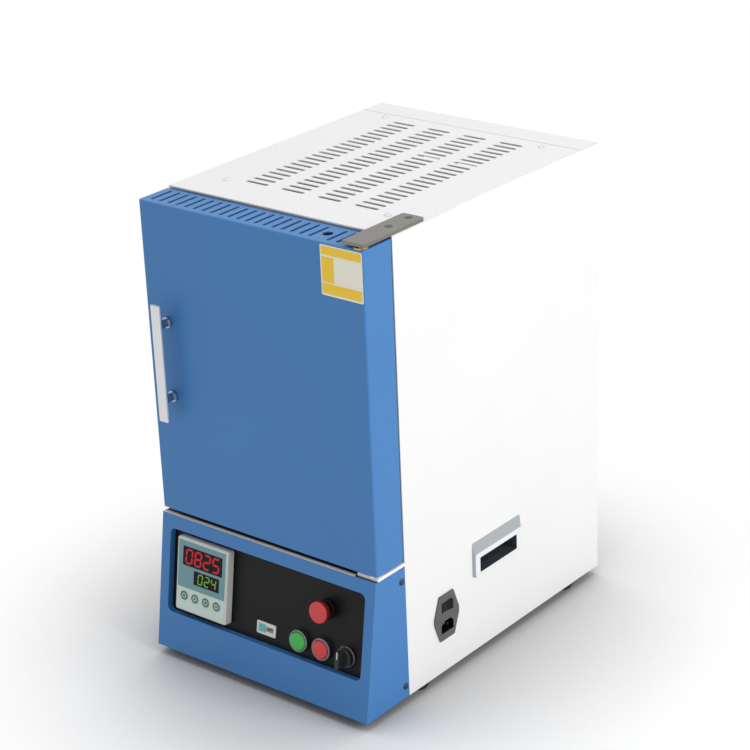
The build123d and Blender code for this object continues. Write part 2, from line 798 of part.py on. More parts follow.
with BuildPart() as estop_head:
    lathe(on_panel(estop_x, estop_drop, estop_ring_height), [
        (spigot_radius + bush_play, head_gap), (head_radius - 4, head_gap), (head_radius, head_gap + 3),
        (head_radius, head_gap + head_height - 3.5), (head_radius - 1, head_gap + head_height - 1.5),
        (head_radius - 3.5, head_gap + head_height), (0, head_gap + head_height),
        (0, head_gap + spigot_height + nest_gap),
        (spigot_radius + bush_play, head_gap + spigot_height + nest_gap),
    ])
estop_head.part.label = "estop_head"
export_step(estop_head.part, "parts/estop_head.step")

# Rotary selector: base ring and a knob with a raised grip
selector_ring = 14
selector_ring_height = 3
knob_radius = 11.5
knob_disc = 5
knob_grip_width = 7.5
knob_grip_length = 23
knob_height = 15.5
knob_stem = 5
with BuildPart() as selector_base:
    control_base(
        on_panel(selector_x, button_row), selector_ring, selector_ring_height, knob_stem + bush_play, 9,
    )
selector_base.part.label = "selector_base"
export_step(selector_base.part, "parts/selector_base.step")

with BuildPart() as selector_knob:
    knob_plane = on_panel(selector_x, button_row, selector_ring_height + nest_gap)
    lathe(knob_plane, [
        (0, -8), (knob_stem, -8), (knob_stem, 0), (knob_radius, 0),
        (knob_radius, knob_disc - 1), (knob_radius - 1, knob_disc), (0, knob_disc),
    ])
    with BuildSketch(knob_plane.offset(knob_disc)):
        SlotOverall(knob_grip_length, knob_grip_width, rotation=90)
    extrude(amount=knob_height - knob_disc, taper=4)
selector_knob.part.label = "selector_knob"
export_step(selector_knob.part, "parts/selector_knob.step")

# Power inlet: hexagonal flange, rocker pocket above, three-pin socket below
mains_socket_width = 24
mains_socket_height = 16
mains_socket_depth = 16
mains_socket_drop = 13
rocker_rise = 14
rocker_width = 20
rocker_height = 12.4
rocker_pocket_depth = 11
rocker_play = 0.4
inlet_screw_length = 8
inlet_face = Plane(
    origin=(half_width + inlet_flange_thickness, inlet_y, inlet_z), x_dir=(0, 1, 0), z_dir=(1, 0, 0)
)
inlet_ear_planes = [
    Plane(origin=inlet_face.origin + inlet_face.x_dir * ear, x_dir=(0, 1, 0), z_dir=(1, 0, 0))
    for ear in (-inlet_ear_x, inlet_ear_x)
]
with BuildPart() as power_inlet:
    with BuildSketch(inlet_face):
        with BuildLine():
            Polyline(
                (-inlet_flange_neck / 2, inlet_flange_height / 2),
                (inlet_flange_neck / 2, inlet_flange_height / 2),
                (inlet_flange_width / 2, 4),
                (inlet_flange_width / 2, -4),
                (inlet_flange_neck / 2, -inlet_flange_height / 2),
                (-inlet_flange_neck / 2, -inlet_flange_height / 2),
                (-inlet_flange_width / 2, -4),
                (-inlet_flange_width / 2, 4),
                close=True,
            )
        make_face()
    extrude(amount=-inlet_flange_thickness)
    for ear_plane in inlet_ear_planes:
        screw_hole_radius = inlet_screw_radius + screw_play
        lathe(ear_plane, [
            (0, -inlet_flange_thickness), (screw_hole_radius, -inlet_flange_thickness),
            (screw_hole_radius, -inlet_screw_head + inlet_screw_radius),
            (inlet_screw_head + screw_play, 0), (0, 0),
        ], mode=Mode.SUBTRACT)
    with BuildSketch(inlet_face):
        Rectangle(inlet_body_width, inlet_body_height)
    extrude(amount=-(inlet_flange_thickness + inlet_body_depth))
    with BuildSketch(inlet_face):
        with Locations((0, rocker_rise)):
            Rectangle(rocker_width + 2 * rocker_play, rocker_height + 2 * rocker_play)
    extrude(amount=-rocker_pocket_depth, mode=Mode.SUBTRACT)
    with BuildSketch(inlet_face):
        with BuildLine():
            Polyline(
                (-mains_socket_width / 2, -mains_socket_drop - mains_socket_height / 2),
                (mains_socket_width / 2, -mains_socket_drop - mains_socket_height / 2),
                (mains_socket_width / 2, -mains_socket_drop + mains_socket_height / 2 - 5),
                (mains_socket_width / 2 - 5, -mains_socket_drop + mains_socket_height / 2),
                (-mains_socket_width / 2 + 5, -mains_socket_drop + mains_socket_height / 2),
                (-mains_socket_width / 2, -mains_socket_drop + mains_socket_height / 2 - 5),
                close=True,
            )
        make_face()
    extrude(amount=-mains_socket_depth, mode=Mode.SUBTRACT)
power_inlet.part.label = "power_inlet"
export_step(power_inlet.part, "parts/power_inlet.step")

# Flat contact blades that stand on the socket's floor, the middle one higher
blade_width = 2
blade_height = 4
blade_length = 11
blade_pitch = 7
blade_shift = 2
blade_spots = [(-blade_pitch, -blade_shift), (0, blade_shift), (blade_pitch, -blade_shift)]
socket_floor = inlet_face.offset(-mains_socket_depth)
with BuildPart() as inlet_blades:
    with BuildSketch(socket_floor):
        with Locations(*[(y, z - mains_socket_drop) for y, z in blade_spots]):
            Rectangle(blade_width, blade_height)
    extrude(amount=blade_length)
inlet_blades.part.label = "inlet_blades"
export_step(inlet_blades.part, "parts/inlet_blades.step")

with BuildPart() as inlet_screws:
    for ear_plane in inlet_ear_planes:
        flat_screw(ear_plane, inlet_screw_radius, inlet_screw_head, inlet_screw_length)
inlet_screws.part.label = "inlet_screws"
export_step(inlet_screws.part, "parts/inlet_screws.step")

# Rocker: a shallow V that rests with one end pressed, turning about an upright axis
rocker_tilt = 7
rocker_pivot_depth = 2.5
rocker_peak = 4.2
rocker_back = 4
rocker_centre = inlet_face.origin + inlet_face.y_dir * rocker_rise - inlet_face.z_dir * rocker_pivot_depth
rocker_plane = Plane(
    origin=rocker_centre - Vector(0, 0, rocker_height / 2), x_dir=(0, -1, 0), z_dir=(0, 0, 1)
).rotated((0, 0, -rocker_tilt))
with BuildPart() as inlet_rocker:
    with BuildSketch(rocker_plane):
        with BuildLine():
            Polyline(
                (-rocker_width / 2 + 0.5, -rocker_back / 2),
                (0, -rocker_back),
                (rocker_width / 2 - 0.5, -rocker_back / 2),
                (rocker_width / 2 - 0.5, rocker_peak),
                (0, rocker_peak - 1.4),
                (-rocker_width / 2 + 0.5, rocker_peak),
                close=True,
            )
        make_face()
    extrude(amount=rocker_height)
inlet_rocker.part.label = "inlet_rocker"
export_step(inlet_rocker.part, "parts/inlet_rocker.step")


# Carrying grips: a shallow cup in each side wall, slotted into a deeper pocket for the fingers
def grip_plane(side, depth=0):
    """A plane in the side wall that looks outwards, sunk by a depth."""
    return Plane((side * (half_width - depth), grip_y, grip_z), x_dir=(0, 1, 0), z_dir=(side, 0, 0))


with BuildPart() as grip_cups:
    for side in (-1, 1):
        up = side
        with BuildSketch(grip_plane(side, grip_depth)):
            Rectangle(grip_length - 2 * nest_gap, grip_height - 2 * nest_gap)
        extrude(amount=grip_depth)
        with BuildSketch(grip_plane(side, sheet)):
            Rectangle(grip_length + 2 * grip_rim, grip_height + 2 * grip_rim)
        extrude(amount=-grip_wall)
        with BuildSketch(grip_plane(side, grip_depth - grip_wall)):
            Rectangle(grip_length - 2 * nest_gap - 2 * grip_wall, grip_height - 2 * nest_gap - 2 * grip_wall)
        extrude(amount=grip_depth, mode=Mode.SUBTRACT)
        with BuildSketch(grip_plane(side, grip_depth)):
            with Locations((0, -up * pocket_drop)):
                Rectangle(pocket_length, pocket_height)
        extrude(amount=2 * grip_wall, both=True, mode=Mode.SUBTRACT)
grip_cups.part.label = "grip_cups"
export_step(grip_cups.part, "parts/grip_cups.step")

with BuildPart() as grip_pockets:
    for side in (-1, 1):
        up = side
        with BuildSketch(grip_plane(side, grip_depth)):
            with Locations((0, -up * pocket_drop)):
                Rectangle(pocket_length + 2 * grip_wall, pocket_height + 2 * grip_wall)
        extrude(amount=-pocket_depth)
        with BuildSketch(grip_plane(side, grip_depth)):
            with Locations((0, -up * pocket_drop)):
                Rectangle(pocket_length, pocket_height)
        extrude(amount=-(pocket_depth - grip_wall), mode=Mode.SUBTRACT)
grip_pockets.part.label = "grip_pockets"
export_step(grip_pockets.part, "parts/grip_pockets.step")

# Hinge plates: the upper on the cover, the lower on the deck with its tail inside the case
with BuildPart() as hinge_plate_top:
    with BuildSketch(Plane.XY.offset(case_top)):
        rect(hinge_edge_x, half_width, front_y - hinge_plate_front, front_y + hinge_plate_tail)
        with Locations(*top_hinge_screw_spots):
            Circle(hinge_hole, mode=Mode.SUBTRACT)
    extrude(amount=hinge_plate_thickness)
    fillet(hinge_plate_top.edges().filter_by(Axis.Z).group_by(Axis.Y)[-1], radius=hinge_plate_radius)
    with Locations(Plane.XY.offset(case_top + hinge_plate_thickness)):
        with Locations(*top_hinge_screw_spots):
            CounterSinkHole(hinge_hole, hinge_screw_head + screw_play, hinge_plate_thickness)
    with BuildSketch(Plane.XY.offset(case_top)):
        with Locations((pivot_x, pivot_y)):
            Circle(pin_radius + pin_play)
    extrude(amount=pin_seat, mode=Mode.SUBTRACT)
hinge_plate_top.part.label = "hinge_plate_top"
export_step(hinge_plate_top.part, "parts/hinge_plate_top.step")

with BuildPart() as hinge_plate_bottom:
    with BuildSketch(Plane.XY.offset(housing_top)):
        rect(hinge_edge_x, half_width, front_y - hinge_plate_front, front_y - nest_gap)
        rect(hinge_edge_x, bottom_tail_edge_x, front_y - nest_gap, front_y + bottom_tail)
    extrude(amount=hinge_plate_thickness)
    with Locations(Plane.XY.offset(housing_top + hinge_plate_thickness)):
        with Locations(*bottom_hinge_screw_spots):
            CounterSinkHole(hinge_hole, hinge_screw_head + screw_play, hinge_plate_thickness)
    with BuildSketch(Plane.XY.offset(housing_top + hinge_plate_thickness)):
        with Locations((pivot_x, pivot_y)):
            Circle(pin_radius + pin_play)
    extrude(amount=-pin_seat, mode=Mode.SUBTRACT)
hinge_plate_bottom.part.label = "hinge_plate_bottom"
export_step(hinge_plate_bottom.part, "parts/hinge_plate_bottom.step")

# Hinge pins: the upper hangs from its plate, the lower stands in its plate with a thrust collar
pin_reach = 10
lower_seat_z = housing_top + hinge_plate_thickness
lower_collar_top = door_bottom - bush_flange - collar_play
with BuildPart() as hinge_pins:
    lathe(Plane((pivot_x, pivot_y, case_top)), [
        (0, pin_seat), (pin_radius, pin_seat), (pin_radius, -(door_crown_gap + pin_reach)),
        (0, -(door_crown_gap + pin_reach)),
    ])
    lathe(Plane((pivot_x, pivot_y, lower_seat_z)), [
        (0, -pin_seat), (pin_radius, -pin_seat), (pin_radius, 0), (collar_radius, 0),
        (collar_radius, lower_collar_top - lower_seat_z), (pin_radius, lower_collar_top - lower_seat_z),
        (pin_radius, door_bottom + pin_reach - lower_seat_z), (0, door_bottom + pin_reach - lower_seat_z),
    ])
hinge_pins.part.label = "hinge_pins"
export_step(hinge_pins.part, "parts/hinge_pins.step")

with BuildPart() as hinge_screws:
    for spots, plate_face in ((top_hinge_screw_spots, case_top), (bottom_hinge_screw_spots, housing_top)):
        for x, y in spots:
            head_plane = Plane((x, y, plate_face + hinge_plate_thickness))
            flat_screw(head_plane, hinge_screw_radius, hinge_screw_head, hinge_screw_length)
hinge_screws.part.label = "hinge_screws"
export_step(hinge_screws.part, "parts/hinge_screws.step")

# Door shell: a deep pan with vent slots through its top and bottom edges
door_slot_count = 22
door_slot_inset = 12.5
door_hole_column = 19
door_hole_radius = 6.5
door_slot_y = door_back_y - door_depth / 2 + 1.5
slot_start_x = -half_width + door_slot_inset
door_slot_spots = [(slot_start_x + slot_row_pitch * i, door_slot_y) for i in range(door_slot_count)]
door_hole_spot = door_slot_spots.pop(door_hole_column)
with BuildPart() as door_shell:
    with BuildSketch(Plane.XZ.offset(-door_back_y)):
        with Locations((0, door_mid_z)):
            Rectangle(case_width, door_height)
    extrude(amount=door_depth)
    fillet(door_shell.faces().sort_by(Axis.Y)[0].edges(), radius=door_edge_radius)
    offset(amount=-sheet, openings=door_shell.faces().sort_by(Axis.Y)[-1])
    with BuildSketch(Plane.XY.offset(door_top)):
        with Locations(*door_slot_spots):
            SlotOverall(slot_length, slot_width, rotation=90)
        with Locations(door_hole_spot):
            Circle(door_hole_radius)
        with Locations((pivot_x, pivot_y)):
            Circle(bush_radius + pin_play)
    extrude(amount=-2 * sheet, mode=Mode.SUBTRACT)
    with BuildSketch(Plane.XY.offset(door_bottom)):
        with Locations(*door_slot_spots):
            SlotOverall(slot_length, slot_width, rotation=90)
        with Locations((pivot_x, pivot_y)):
            Circle(bush_radius + pin_play)
    extrude(amount=2 * sheet, mode=Mode.SUBTRACT)
door_shell.part.label = "door_shell"
export_step(door_shell.part, "parts/door_shell.step")

# Door liner: the inner sheet, nested in the shell's rim and opened for the plug
plug_base = 180
plug_tip = 168
plug_reach = 18
plug_flange = 230
plug_flange_depth = 32
plug_hole = plug_base + 2 * nest_gap
liner_half = half_width - sheet - nest_gap
with BuildPart() as door_liner:
    with BuildSketch(Plane.XZ.offset(-door_back_y)):
        rect(-liner_half, liner_half, door_bottom + sheet + nest_gap, door_top - sheet - nest_gap)
        with Locations((0, door_mid_z)):
            RectangleRounded(plug_hole, plug_hole, mouth_radius, mode=Mode.SUBTRACT)
    extrude(amount=liner_sheet)
door_liner.part.label = "door_liner"
export_step(door_liner.part, "parts/door_liner.step")

# Door plug: a fibre block held by its flange, its tapered nose in the mouth
with BuildPart() as door_plug:
    with BuildSketch(Plane.XZ.offset(-(door_back_y - liner_sheet))):
        with Locations((0, door_mid_z)):
            RectangleRounded(plug_flange, plug_flange, mouth_radius)
    extrude(amount=plug_flange_depth)
    with BuildSketch(Plane.XZ.offset(-(door_back_y - liner_sheet))):
        with Locations((0, door_mid_z)):
            RectangleRounded(plug_base, plug_base, mouth_radius)
    with BuildSketch(Plane.XZ.offset(-(door_back_y + plug_reach))):
        with Locations((0, door_mid_z)):
            RectangleRounded(plug_tip, plug_tip, mouth_radius)
    loft()
door_plug.part.label = "door_plug"
export_step(door_plug.part, "parts/door_plug.step")

# Door seal: a fibre ring on the liner that meets the collar's boss
seal_inner = 200
seal_outer = 218
with BuildPart() as door_seal:
    with BuildSketch(Plane.XZ.offset(-door_back_y)):
        with Locations((0, door_mid_z)):
            RectangleRounded(seal_outer, seal_outer, mouth_radius + 6)
            RectangleRounded(seal_inner, seal_inner, mouth_radius, mode=Mode.SUBTRACT)
    extrude(amount=-(door_gap - nest_gap))
door_seal.part.label = "door_seal"
export_step(door_seal.part, "parts/door_seal.step")

# Door handle: a flat bar on two round posts
handle_x = -136
handle_rise = 3.5
handle_length = 150
handle_width = 14
handle_thickness = 6.5
handle_post_pitch = 96
handle_post_length = 18.5
handle_post_radius = 5
handle_ferrule_radius = 7
handle_ferrule_length = 4
handle_z = door_mid_z + handle_rise
with BuildPart() as handle_bar:
    with BuildSketch(Plane.XZ.offset(-(door_front_y - handle_post_length))):
        with Locations((handle_x, handle_z)):
            RectangleRounded(handle_width, handle_length, 1.5)
    extrude(amount=handle_thickness)
    fillet(handle_bar.faces().sort_by(Axis.Y)[0].edges(), radius=1)
handle_bar.part.label = "handle_bar"
export_step(handle_bar.part, "parts/handle_bar.step")

with BuildPart() as handle_posts:
    for z in (handle_z - handle_post_pitch / 2, handle_z + handle_post_pitch / 2):
        lathe(Plane((handle_x, door_front_y, z), x_dir=(1, 0, 0), z_dir=(0, -1, 0)), [
            (0, 0), (handle_ferrule_radius, 0), (handle_ferrule_radius, handle_ferrule_length),
            (handle_post_radius, handle_ferrule_length), (handle_post_radius, handle_post_length),
            (0, handle_post_length),
        ])
handle_posts.part.label = "handle_posts"
export_step(handle_posts.part, "parts/handle_posts.step")

# Flanged hinge bushes in the door's top and bottom edges
with BuildPart() as hinge_bushes:
    for z, out in ((door_top, 1), (door_bottom, -1)):
        lathe(Plane((pivot_x, pivot_y, z), x_dir=(1, 0, 0), z_dir=(0, 0, out)), [
            (pin_radius + bush_play, -bush_length), (bush_radius, -bush_length), (bush_radius, 0),
            (bush_flange_radius, 0), (bush_flange_radius, bush_flange),
            (pin_radius + bush_play, bush_flange),
        ])
hinge_bushes.part.label = "hinge_bushes"
export_step(hinge_bushes.part, "parts/hinge_bushes.step")

# Electronics on the base plate: relay on its finned heat sink, and a terminal block
floor_inside = foot_height + sheet
sink_x = -80
sink_y = front_y + 210
sink_width = 90
sink_depth = 100
sink_base = 8
fin_height = 30
fin_count = 9
fin_thickness = 2
with BuildPart() as heat_sink:
    with BuildSketch(Plane.XZ.offset(-(sink_y + sink_depth / 2))):
        rect(sink_x - sink_width / 2, sink_x + sink_width / 2, floor_inside + fin_height,
             floor_inside + fin_height + sink_base)
        with Locations((sink_x, floor_inside + fin_height / 2)):
            with GridLocations((sink_width - fin_thickness) / (fin_count - 1), 1, fin_count, 1):
                Rectangle(fin_thickness, fin_height)
    extrude(amount=sink_depth)
heat_sink.part.label = "heat_sink"
export_step(heat_sink.part, "parts/heat_sink.step")

relay_width = 45
relay_depth = 58
relay_height = 26
sink_top = floor_inside + fin_height + sink_base
with BuildPart() as power_relay:
    with BuildSketch(Plane.XY.offset(sink_top)):
        with Locations((sink_x, sink_y)):
            Rectangle(relay_width, relay_depth)
    extrude(amount=relay_height)
    with BuildSketch(Plane.XY.offset(sink_top + relay_height)):
        with Locations((sink_x, sink_y - relay_depth / 2 + 7), (sink_x, sink_y + relay_depth / 2 - 7)):
            Rectangle(relay_width, 14)
    extrude(amount=-relay_height / 2, mode=Mode.SUBTRACT)
power_relay.part.label = "power_relay"
export_step(power_relay.part, "parts/power_relay.step")

terminal_x = 60
terminal_y = front_y + 230
terminal_ways = 8
terminal_pitch = 12
terminal_depth = 30
terminal_height = 26
with BuildPart() as terminal_block:
    with BuildSketch(Plane.XY.offset(floor_inside)):
        with Locations((terminal_x, terminal_y)):
            Rectangle(terminal_ways * terminal_pitch, terminal_depth)
    extrude(amount=terminal_height)
    with BuildSketch(Plane.XY.offset(floor_inside + terminal_height)):
        with Locations((terminal_x, terminal_y)):
            with GridLocations(terminal_pitch, terminal_depth / 2, terminal_ways, 2):
                Rectangle(terminal_pitch - 3, terminal_depth / 2 - 4)
    extrude(amount=-8, mode=Mode.SUBTRACT)
terminal_block.part.label = "terminal_block"
export_step(terminal_block.part, "parts/terminal_block.step")
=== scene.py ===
import bpy
import math
from mathutils import Matrix, Vector


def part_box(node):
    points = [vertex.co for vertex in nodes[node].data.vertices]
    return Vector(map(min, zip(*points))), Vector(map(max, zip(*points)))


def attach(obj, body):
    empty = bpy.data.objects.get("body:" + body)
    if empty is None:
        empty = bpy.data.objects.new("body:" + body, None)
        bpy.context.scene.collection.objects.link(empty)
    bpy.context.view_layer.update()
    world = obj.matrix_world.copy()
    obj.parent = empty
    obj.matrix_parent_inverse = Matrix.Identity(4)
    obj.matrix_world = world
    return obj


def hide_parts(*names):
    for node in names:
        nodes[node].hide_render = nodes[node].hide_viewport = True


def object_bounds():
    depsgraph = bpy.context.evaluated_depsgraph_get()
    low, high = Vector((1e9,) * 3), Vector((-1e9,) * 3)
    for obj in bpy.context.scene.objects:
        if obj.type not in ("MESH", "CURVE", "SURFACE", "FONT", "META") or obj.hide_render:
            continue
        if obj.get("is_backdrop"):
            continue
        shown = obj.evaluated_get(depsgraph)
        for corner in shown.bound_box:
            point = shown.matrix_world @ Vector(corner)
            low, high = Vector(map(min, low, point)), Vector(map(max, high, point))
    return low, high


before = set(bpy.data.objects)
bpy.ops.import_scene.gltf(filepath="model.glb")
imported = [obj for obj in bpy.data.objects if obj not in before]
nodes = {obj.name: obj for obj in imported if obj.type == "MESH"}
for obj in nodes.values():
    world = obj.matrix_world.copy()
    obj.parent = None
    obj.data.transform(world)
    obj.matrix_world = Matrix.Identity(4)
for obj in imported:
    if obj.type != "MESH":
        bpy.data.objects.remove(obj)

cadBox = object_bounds()
mm = 0.001
print("frame loaded with", len(nodes), "nodes")


# Small helpers

def linear(hexColour):
    channels = [int(hexColour[i:i + 2], 16) / 255 for i in (1, 3, 5)]
    return tuple(c / 12.92 if c <= 0.04045 else ((c + 0.055) / 1.055) ** 2.4 for c in channels) + (1,)


def perMetre(millimetres):
    return 1000 / millimetres


def addNode(tree, kind, inputs=None, links=None, **settings):
    node = tree.nodes.new(kind)
    for key, value in settings.items():
        setattr(node, key, value)
    for key, value in (inputs or {}).items():
        node.inputs[key].default_value = value
    for key, source in (links or {}).items():
        tree.links.new(source, node.inputs[key])
    return node


def newMaterial(name, colour, roughness, metallic=0.0, **sockets):
    material = bpy.data.materials.new(name)
    material.use_nodes = True
    tree = material.node_tree
    shader = tree.nodes["Principled BSDF"]
    shader.inputs["Base Color"].default_value = linear(colour)
    shader.inputs["Roughness"].default_value = roughness
    shader.inputs["Metallic"].default_value = metallic
    for key, value in sockets.items():
        shader.inputs[key.replace("_", " ")].default_value = value
    coords = addNode(tree, "ShaderNodeTexCoord")
    return material, tree, shader, coords.outputs["Object"]


def stretched(tree, coords, sizes):
    scale = [perMetre(size) for size in sizes]
    return addNode(tree, "ShaderNodeMapping", {"Scale": scale}, {"Vector": coords}).outputs["Vector"]


def noise(tree, coords, size, detail):
    inputs = {"Scale": perMetre(size), "Detail": detail}
    return addNode(tree, "ShaderNodeTexNoise", inputs, {"Vector": coords}).outputs["Fac"]


def tinted(tree, shader, factor, first, second):
    ramp = addNode(tree, "ShaderNodeValToRGB", links={"Fac": factor})
    ramp.color_ramp.elements[0].color = linear(first)
    ramp.color_ramp.elements[1].color = linear(second)
    tree.links.new(ramp.outputs["Color"], shader.inputs["Base Color"])
    return ramp


def bumped(tree, shader, height, depth):
    bump = addNode(tree, "ShaderNodeBump", {"Strength": 1.0, "Distance": depth * mm}, {"Height": height})
    tree.links.new(bump.outputs["Normal"], shader.inputs["Normal"])


def roughened(tree, shader, factor, roughness, less, more):
    spread = addNode(tree, "ShaderNodeMapRange", {"To Min": roughness - less, "To Max": roughness + more},
                     {"Value": factor})
    tree.links.new(spread.outputs["Result"], shader.inputs["Roughness"])


# Camera: the picture's own viewpoint

camera = {
    "place": (1673.5 * mm, -2017.75 * mm, 1437.0 * mm),
    "turn": 39.6479,
    "height": 22.8183,
    "roll": -2.4543,
    "lens": 109.51,
    "sensor": 36,
    "farClip": 60,
}
turn, height, roll = (math.radians(camera[k]) for k in ("turn", "height", "roll"))
backward = Vector((math.sin(turn) * math.cos(height), -math.cos(turn) * math.cos(height), math.sin(height)))
level = Vector((math.cos(turn), math.sin(turn), 0))
above = backward.cross(level)
sideways = level * math.cos(roll) + above * math.sin(roll)
upwards = above * math.cos(roll) - level * math.sin(roll)
cameraData = bpy.data.cameras.new("camera")
cameraData.lens = camera["lens"]
cameraData.sensor_width = camera["sensor"]
cameraData.clip_end = camera["farClip"]
cameraObject = bpy.data.objects.new("camera", cameraData)
cameraObject.matrix_world = Matrix((sideways, upwards, backward)).transposed().to_4x4()
cameraObject.location = camera["place"]
bpy.context.scene.collection.objects.link(cameraObject)
bpy.context.scene.camera = cameraObject
bpy.context.scene.view_settings.view_transform = "Standard"
print("camera placed")


# Floor, backdrop and light

studio = {
    "world": "#FFFFFF",
    "worldStrength": 0.6,
    "floorSize": 14,
    "floorDrop": 0.2,
    "floorRoughness": 0.85,
    "shadowMiddle": (0.07, -0.03, 0),
    "shadowReach": 0.3,
    "whiteFrom": 0.64,
}
# painted contact shadow on the floor: its reach, samples, darkest and palest colours and the span of its ramp
paintedContactShadow = {"reach": 0.4, "samples": 8, "dark": "#9C9C9C", "pale": "#FCFCFC", "from": 0.3, "to": 0.97}
lamps = {
    "keyLamp": {"place": (2.9, 0.2, 2.0), "target": (0, 0, 0.3), "size": (1.6, 1.6), "power": 48},
    "topLamp": {"place": (-0.2, 0.3, 3.0), "target": (0, 0, 0.5), "size": (1.8, 1.8), "power": 18},
    "frontLamp": {"place": (-1.4, -3.0, 1.4), "target": (0, 0, 0.3), "size": (1.4, 1.4), "power": 5},
    "lowLamp": {"place": (2.2, 0.5, 0.35), "target": (0.17, 0, 0.05), "size": (1.2, 0.4), "power": 2.5},
}


def studioLight(name, place, target, size, power):
    lamp = bpy.data.lights.new(name, "AREA")
    lamp.shape = "RECTANGLE"
    lamp.size, lamp.size_y = size
    lamp.energy = power
    lampObject = bpy.data.objects.new(name, lamp)
    lampObject.location = place
    aim = Vector(target) - Vector(place)
    lampObject.rotation_euler = aim.to_track_quat("-Z", "Y").to_euler()
    bpy.context.scene.collection.objects.link(lampObject)


def seenAsWhite(tree):
    # one for rays that come from the camera, a reflection or a clear piece
    path = addNode(tree, "ShaderNodeLightPath").outputs
    seen = addNode(tree, "ShaderNodeMath", links={0: path["Is Camera Ray"], 1: path["Is Glossy Ray"]},
                   operation="MAXIMUM")
    either = addNode(tree, "ShaderNodeMath", links={0: seen.outputs[0], 1: path["Is Transmission Ray"]},
                     operation="MAXIMUM")
    return either.outputs[0]


def makeWorld():
    world = bpy.data.worlds.new("studio")
    bpy.context.scene.world = world
    world.use_nodes = True
    tree = world.node_tree
    background = tree.nodes["Background"]
    background.inputs["Color"].default_value = linear(studio["world"])
    strength = addNode(tree, "ShaderNodeMapRange", {"To Min": studio["worldStrength"], "To Max": 1.0},
                       {"Value": seenAsWhite(tree)})
    tree.links.new(strength.outputs["Result"], background.inputs["Strength"])


def makeFloor():
    half = studio["floorSize"] / 2
    corners = [(-half, -half, 0), (half, -half, 0), (half, half, 0), (-half, half, 0)]
    mesh = bpy.data.meshes.new("floor")
    mesh.from_pydata(corners, [], [(0, 1, 2, 3)])
    floor = bpy.data.objects.new("floor", mesh)
    floor.location = (0, 0, -studio["floorDrop"] * mm)
    bpy.context.scene.collection.objects.link(floor)
    material, tree, shader, coords = newMaterial("paleFloor", paintedContactShadow["pale"], studio["floorRoughness"])
    # painted contact shadow: darker where the furnace closes the floor in
    closing = addNode(tree, "ShaderNodeAmbientOcclusion", {"Distance": paintedContactShadow["reach"]},
                      samples=paintedContactShadow["samples"])
    shade = tinted(tree, shader, closing.outputs["AO"], paintedContactShadow["dark"], paintedContactShadow["pale"])
    shade.color_ramp.elements[0].position = paintedContactShadow["from"]
    shade.color_ramp.elements[1].position = paintedContactShadow["to"]
    # plain white away from the furnace, so that only its own shadow shows
    away = addNode(tree, "ShaderNodeVectorMath", {1: studio["shadowMiddle"]}, {0: coords},
                   operation="DISTANCE")
    far = addNode(tree, "ShaderNodeMapRange",
                  {"From Min": studio["shadowReach"], "From Max": studio["whiteFrom"]},
                  {"Value": away.outputs["Value"]}, interpolation_type="SMOOTHSTEP")
    share = addNode(tree, "ShaderNodeMath", links={0: far.outputs["Result"], 1: seenAsWhite(tree)},
                    operation="MULTIPLY")
    white = addNode(tree, "ShaderNodeEmission", {"Color": linear(studio["world"]), "Strength": 1.0})
    blend = addNode(tree, "ShaderNodeMixShader",
                    links={0: share.outputs[0], 1: shader.outputs[0], 2: white.outputs[0]})
    tree.links.new(blend.outputs[0], tree.nodes["Material Output"].inputs["Surface"])
    mesh.materials.append(material)
    floor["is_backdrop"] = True


makeWorld()
makeFloor()
for name, lamp in lamps.items():
    studioLight(name, **lamp)
print("floor and lights made")


# Materials, each named for what the real surface is or for the light or shade painted on it, with the sizes
# of their patterns in millimetres

def powderCoat(name, colour, shade, roughness, patch=160, peel=2.4):
    # polyester powder baked on sheet steel: even, half gloss, with a faint orange peel drawn a little coarse
    material, tree, shader, coords = newMaterial(name, colour, roughness, Specular_IOR_Level=0.45)
    broad = noise(tree, coords, patch, detail=2.0)
    tinted(tree, shader, broad, shade, colour)
    bumped(tree, shader, noise(tree, coords, peel, detail=2.0), depth=0.04)
    roughened(tree, shader, broad, roughness, less=0.04, more=0.05)
    return material


def brushedSteel(name, colour, shade, grain, roughness, metallic=1.0):
    # rolled and brushed sheet: long fine lines along one way that spread its highlights across them
    material, tree, shader, coords = newMaterial(name, colour, roughness, metallic)
    lines = addNode(tree, "ShaderNodeTexNoise", {"Scale": 1.0, "Detail": 3.0},
                    {"Vector": stretched(tree, coords, grain)}).outputs["Fac"]
    tinted(tree, shader, lines, shade, colour)
    roughened(tree, shader, lines, roughness, less=0.1, more=0.12)
    bumped(tree, shader, lines, depth=0.02)
    return material


def platedMetal(name, colour, roughness, haze=3):
    # nickel, zinc or chrome plate on turned parts, with slight polishing haze
    material, tree, shader, coords = newMaterial(name, colour, roughness, metallic=1.0)
    roughened(tree, shader, noise(tree, coords, haze, detail=3.0), roughness, less=0.06, more=0.1)
    return material


def mouldedPlastic(name, colour, shade, roughness, grain=1.2, depth=0.03, gloss=0.5):
    # injection-moulded ABS or nylon: a fine spark-eroded grain and a slightly uneven sheen
    material, tree, shader, coords = newMaterial(name, colour, roughness, Specular_IOR_Level=gloss)
    fine = noise(tree, coords, grain, detail=4.0)
    tinted(tree, shader, fine, shade, colour)
    bumped(tree, shader, fine, depth)
    roughened(tree, shader, fine, roughness, less=0.05, more=0.08)
    return material


def glossySheet(name, colour, roughness, wave=40):
    # printed polycarbonate or vinyl: an even colour under a clear, faintly wavy gloss
    material, tree, shader, coords = newMaterial(name, colour, roughness, IOR=1.49, Coat_Weight=0.4,
                                                 Coat_Roughness=0.05)
    ripple = noise(tree, coords, wave, detail=1.0)
    bumped(tree, shader, ripple, depth=0.05)
    roughened(tree, shader, ripple, roughness, less=0, more=0.06)
    return material


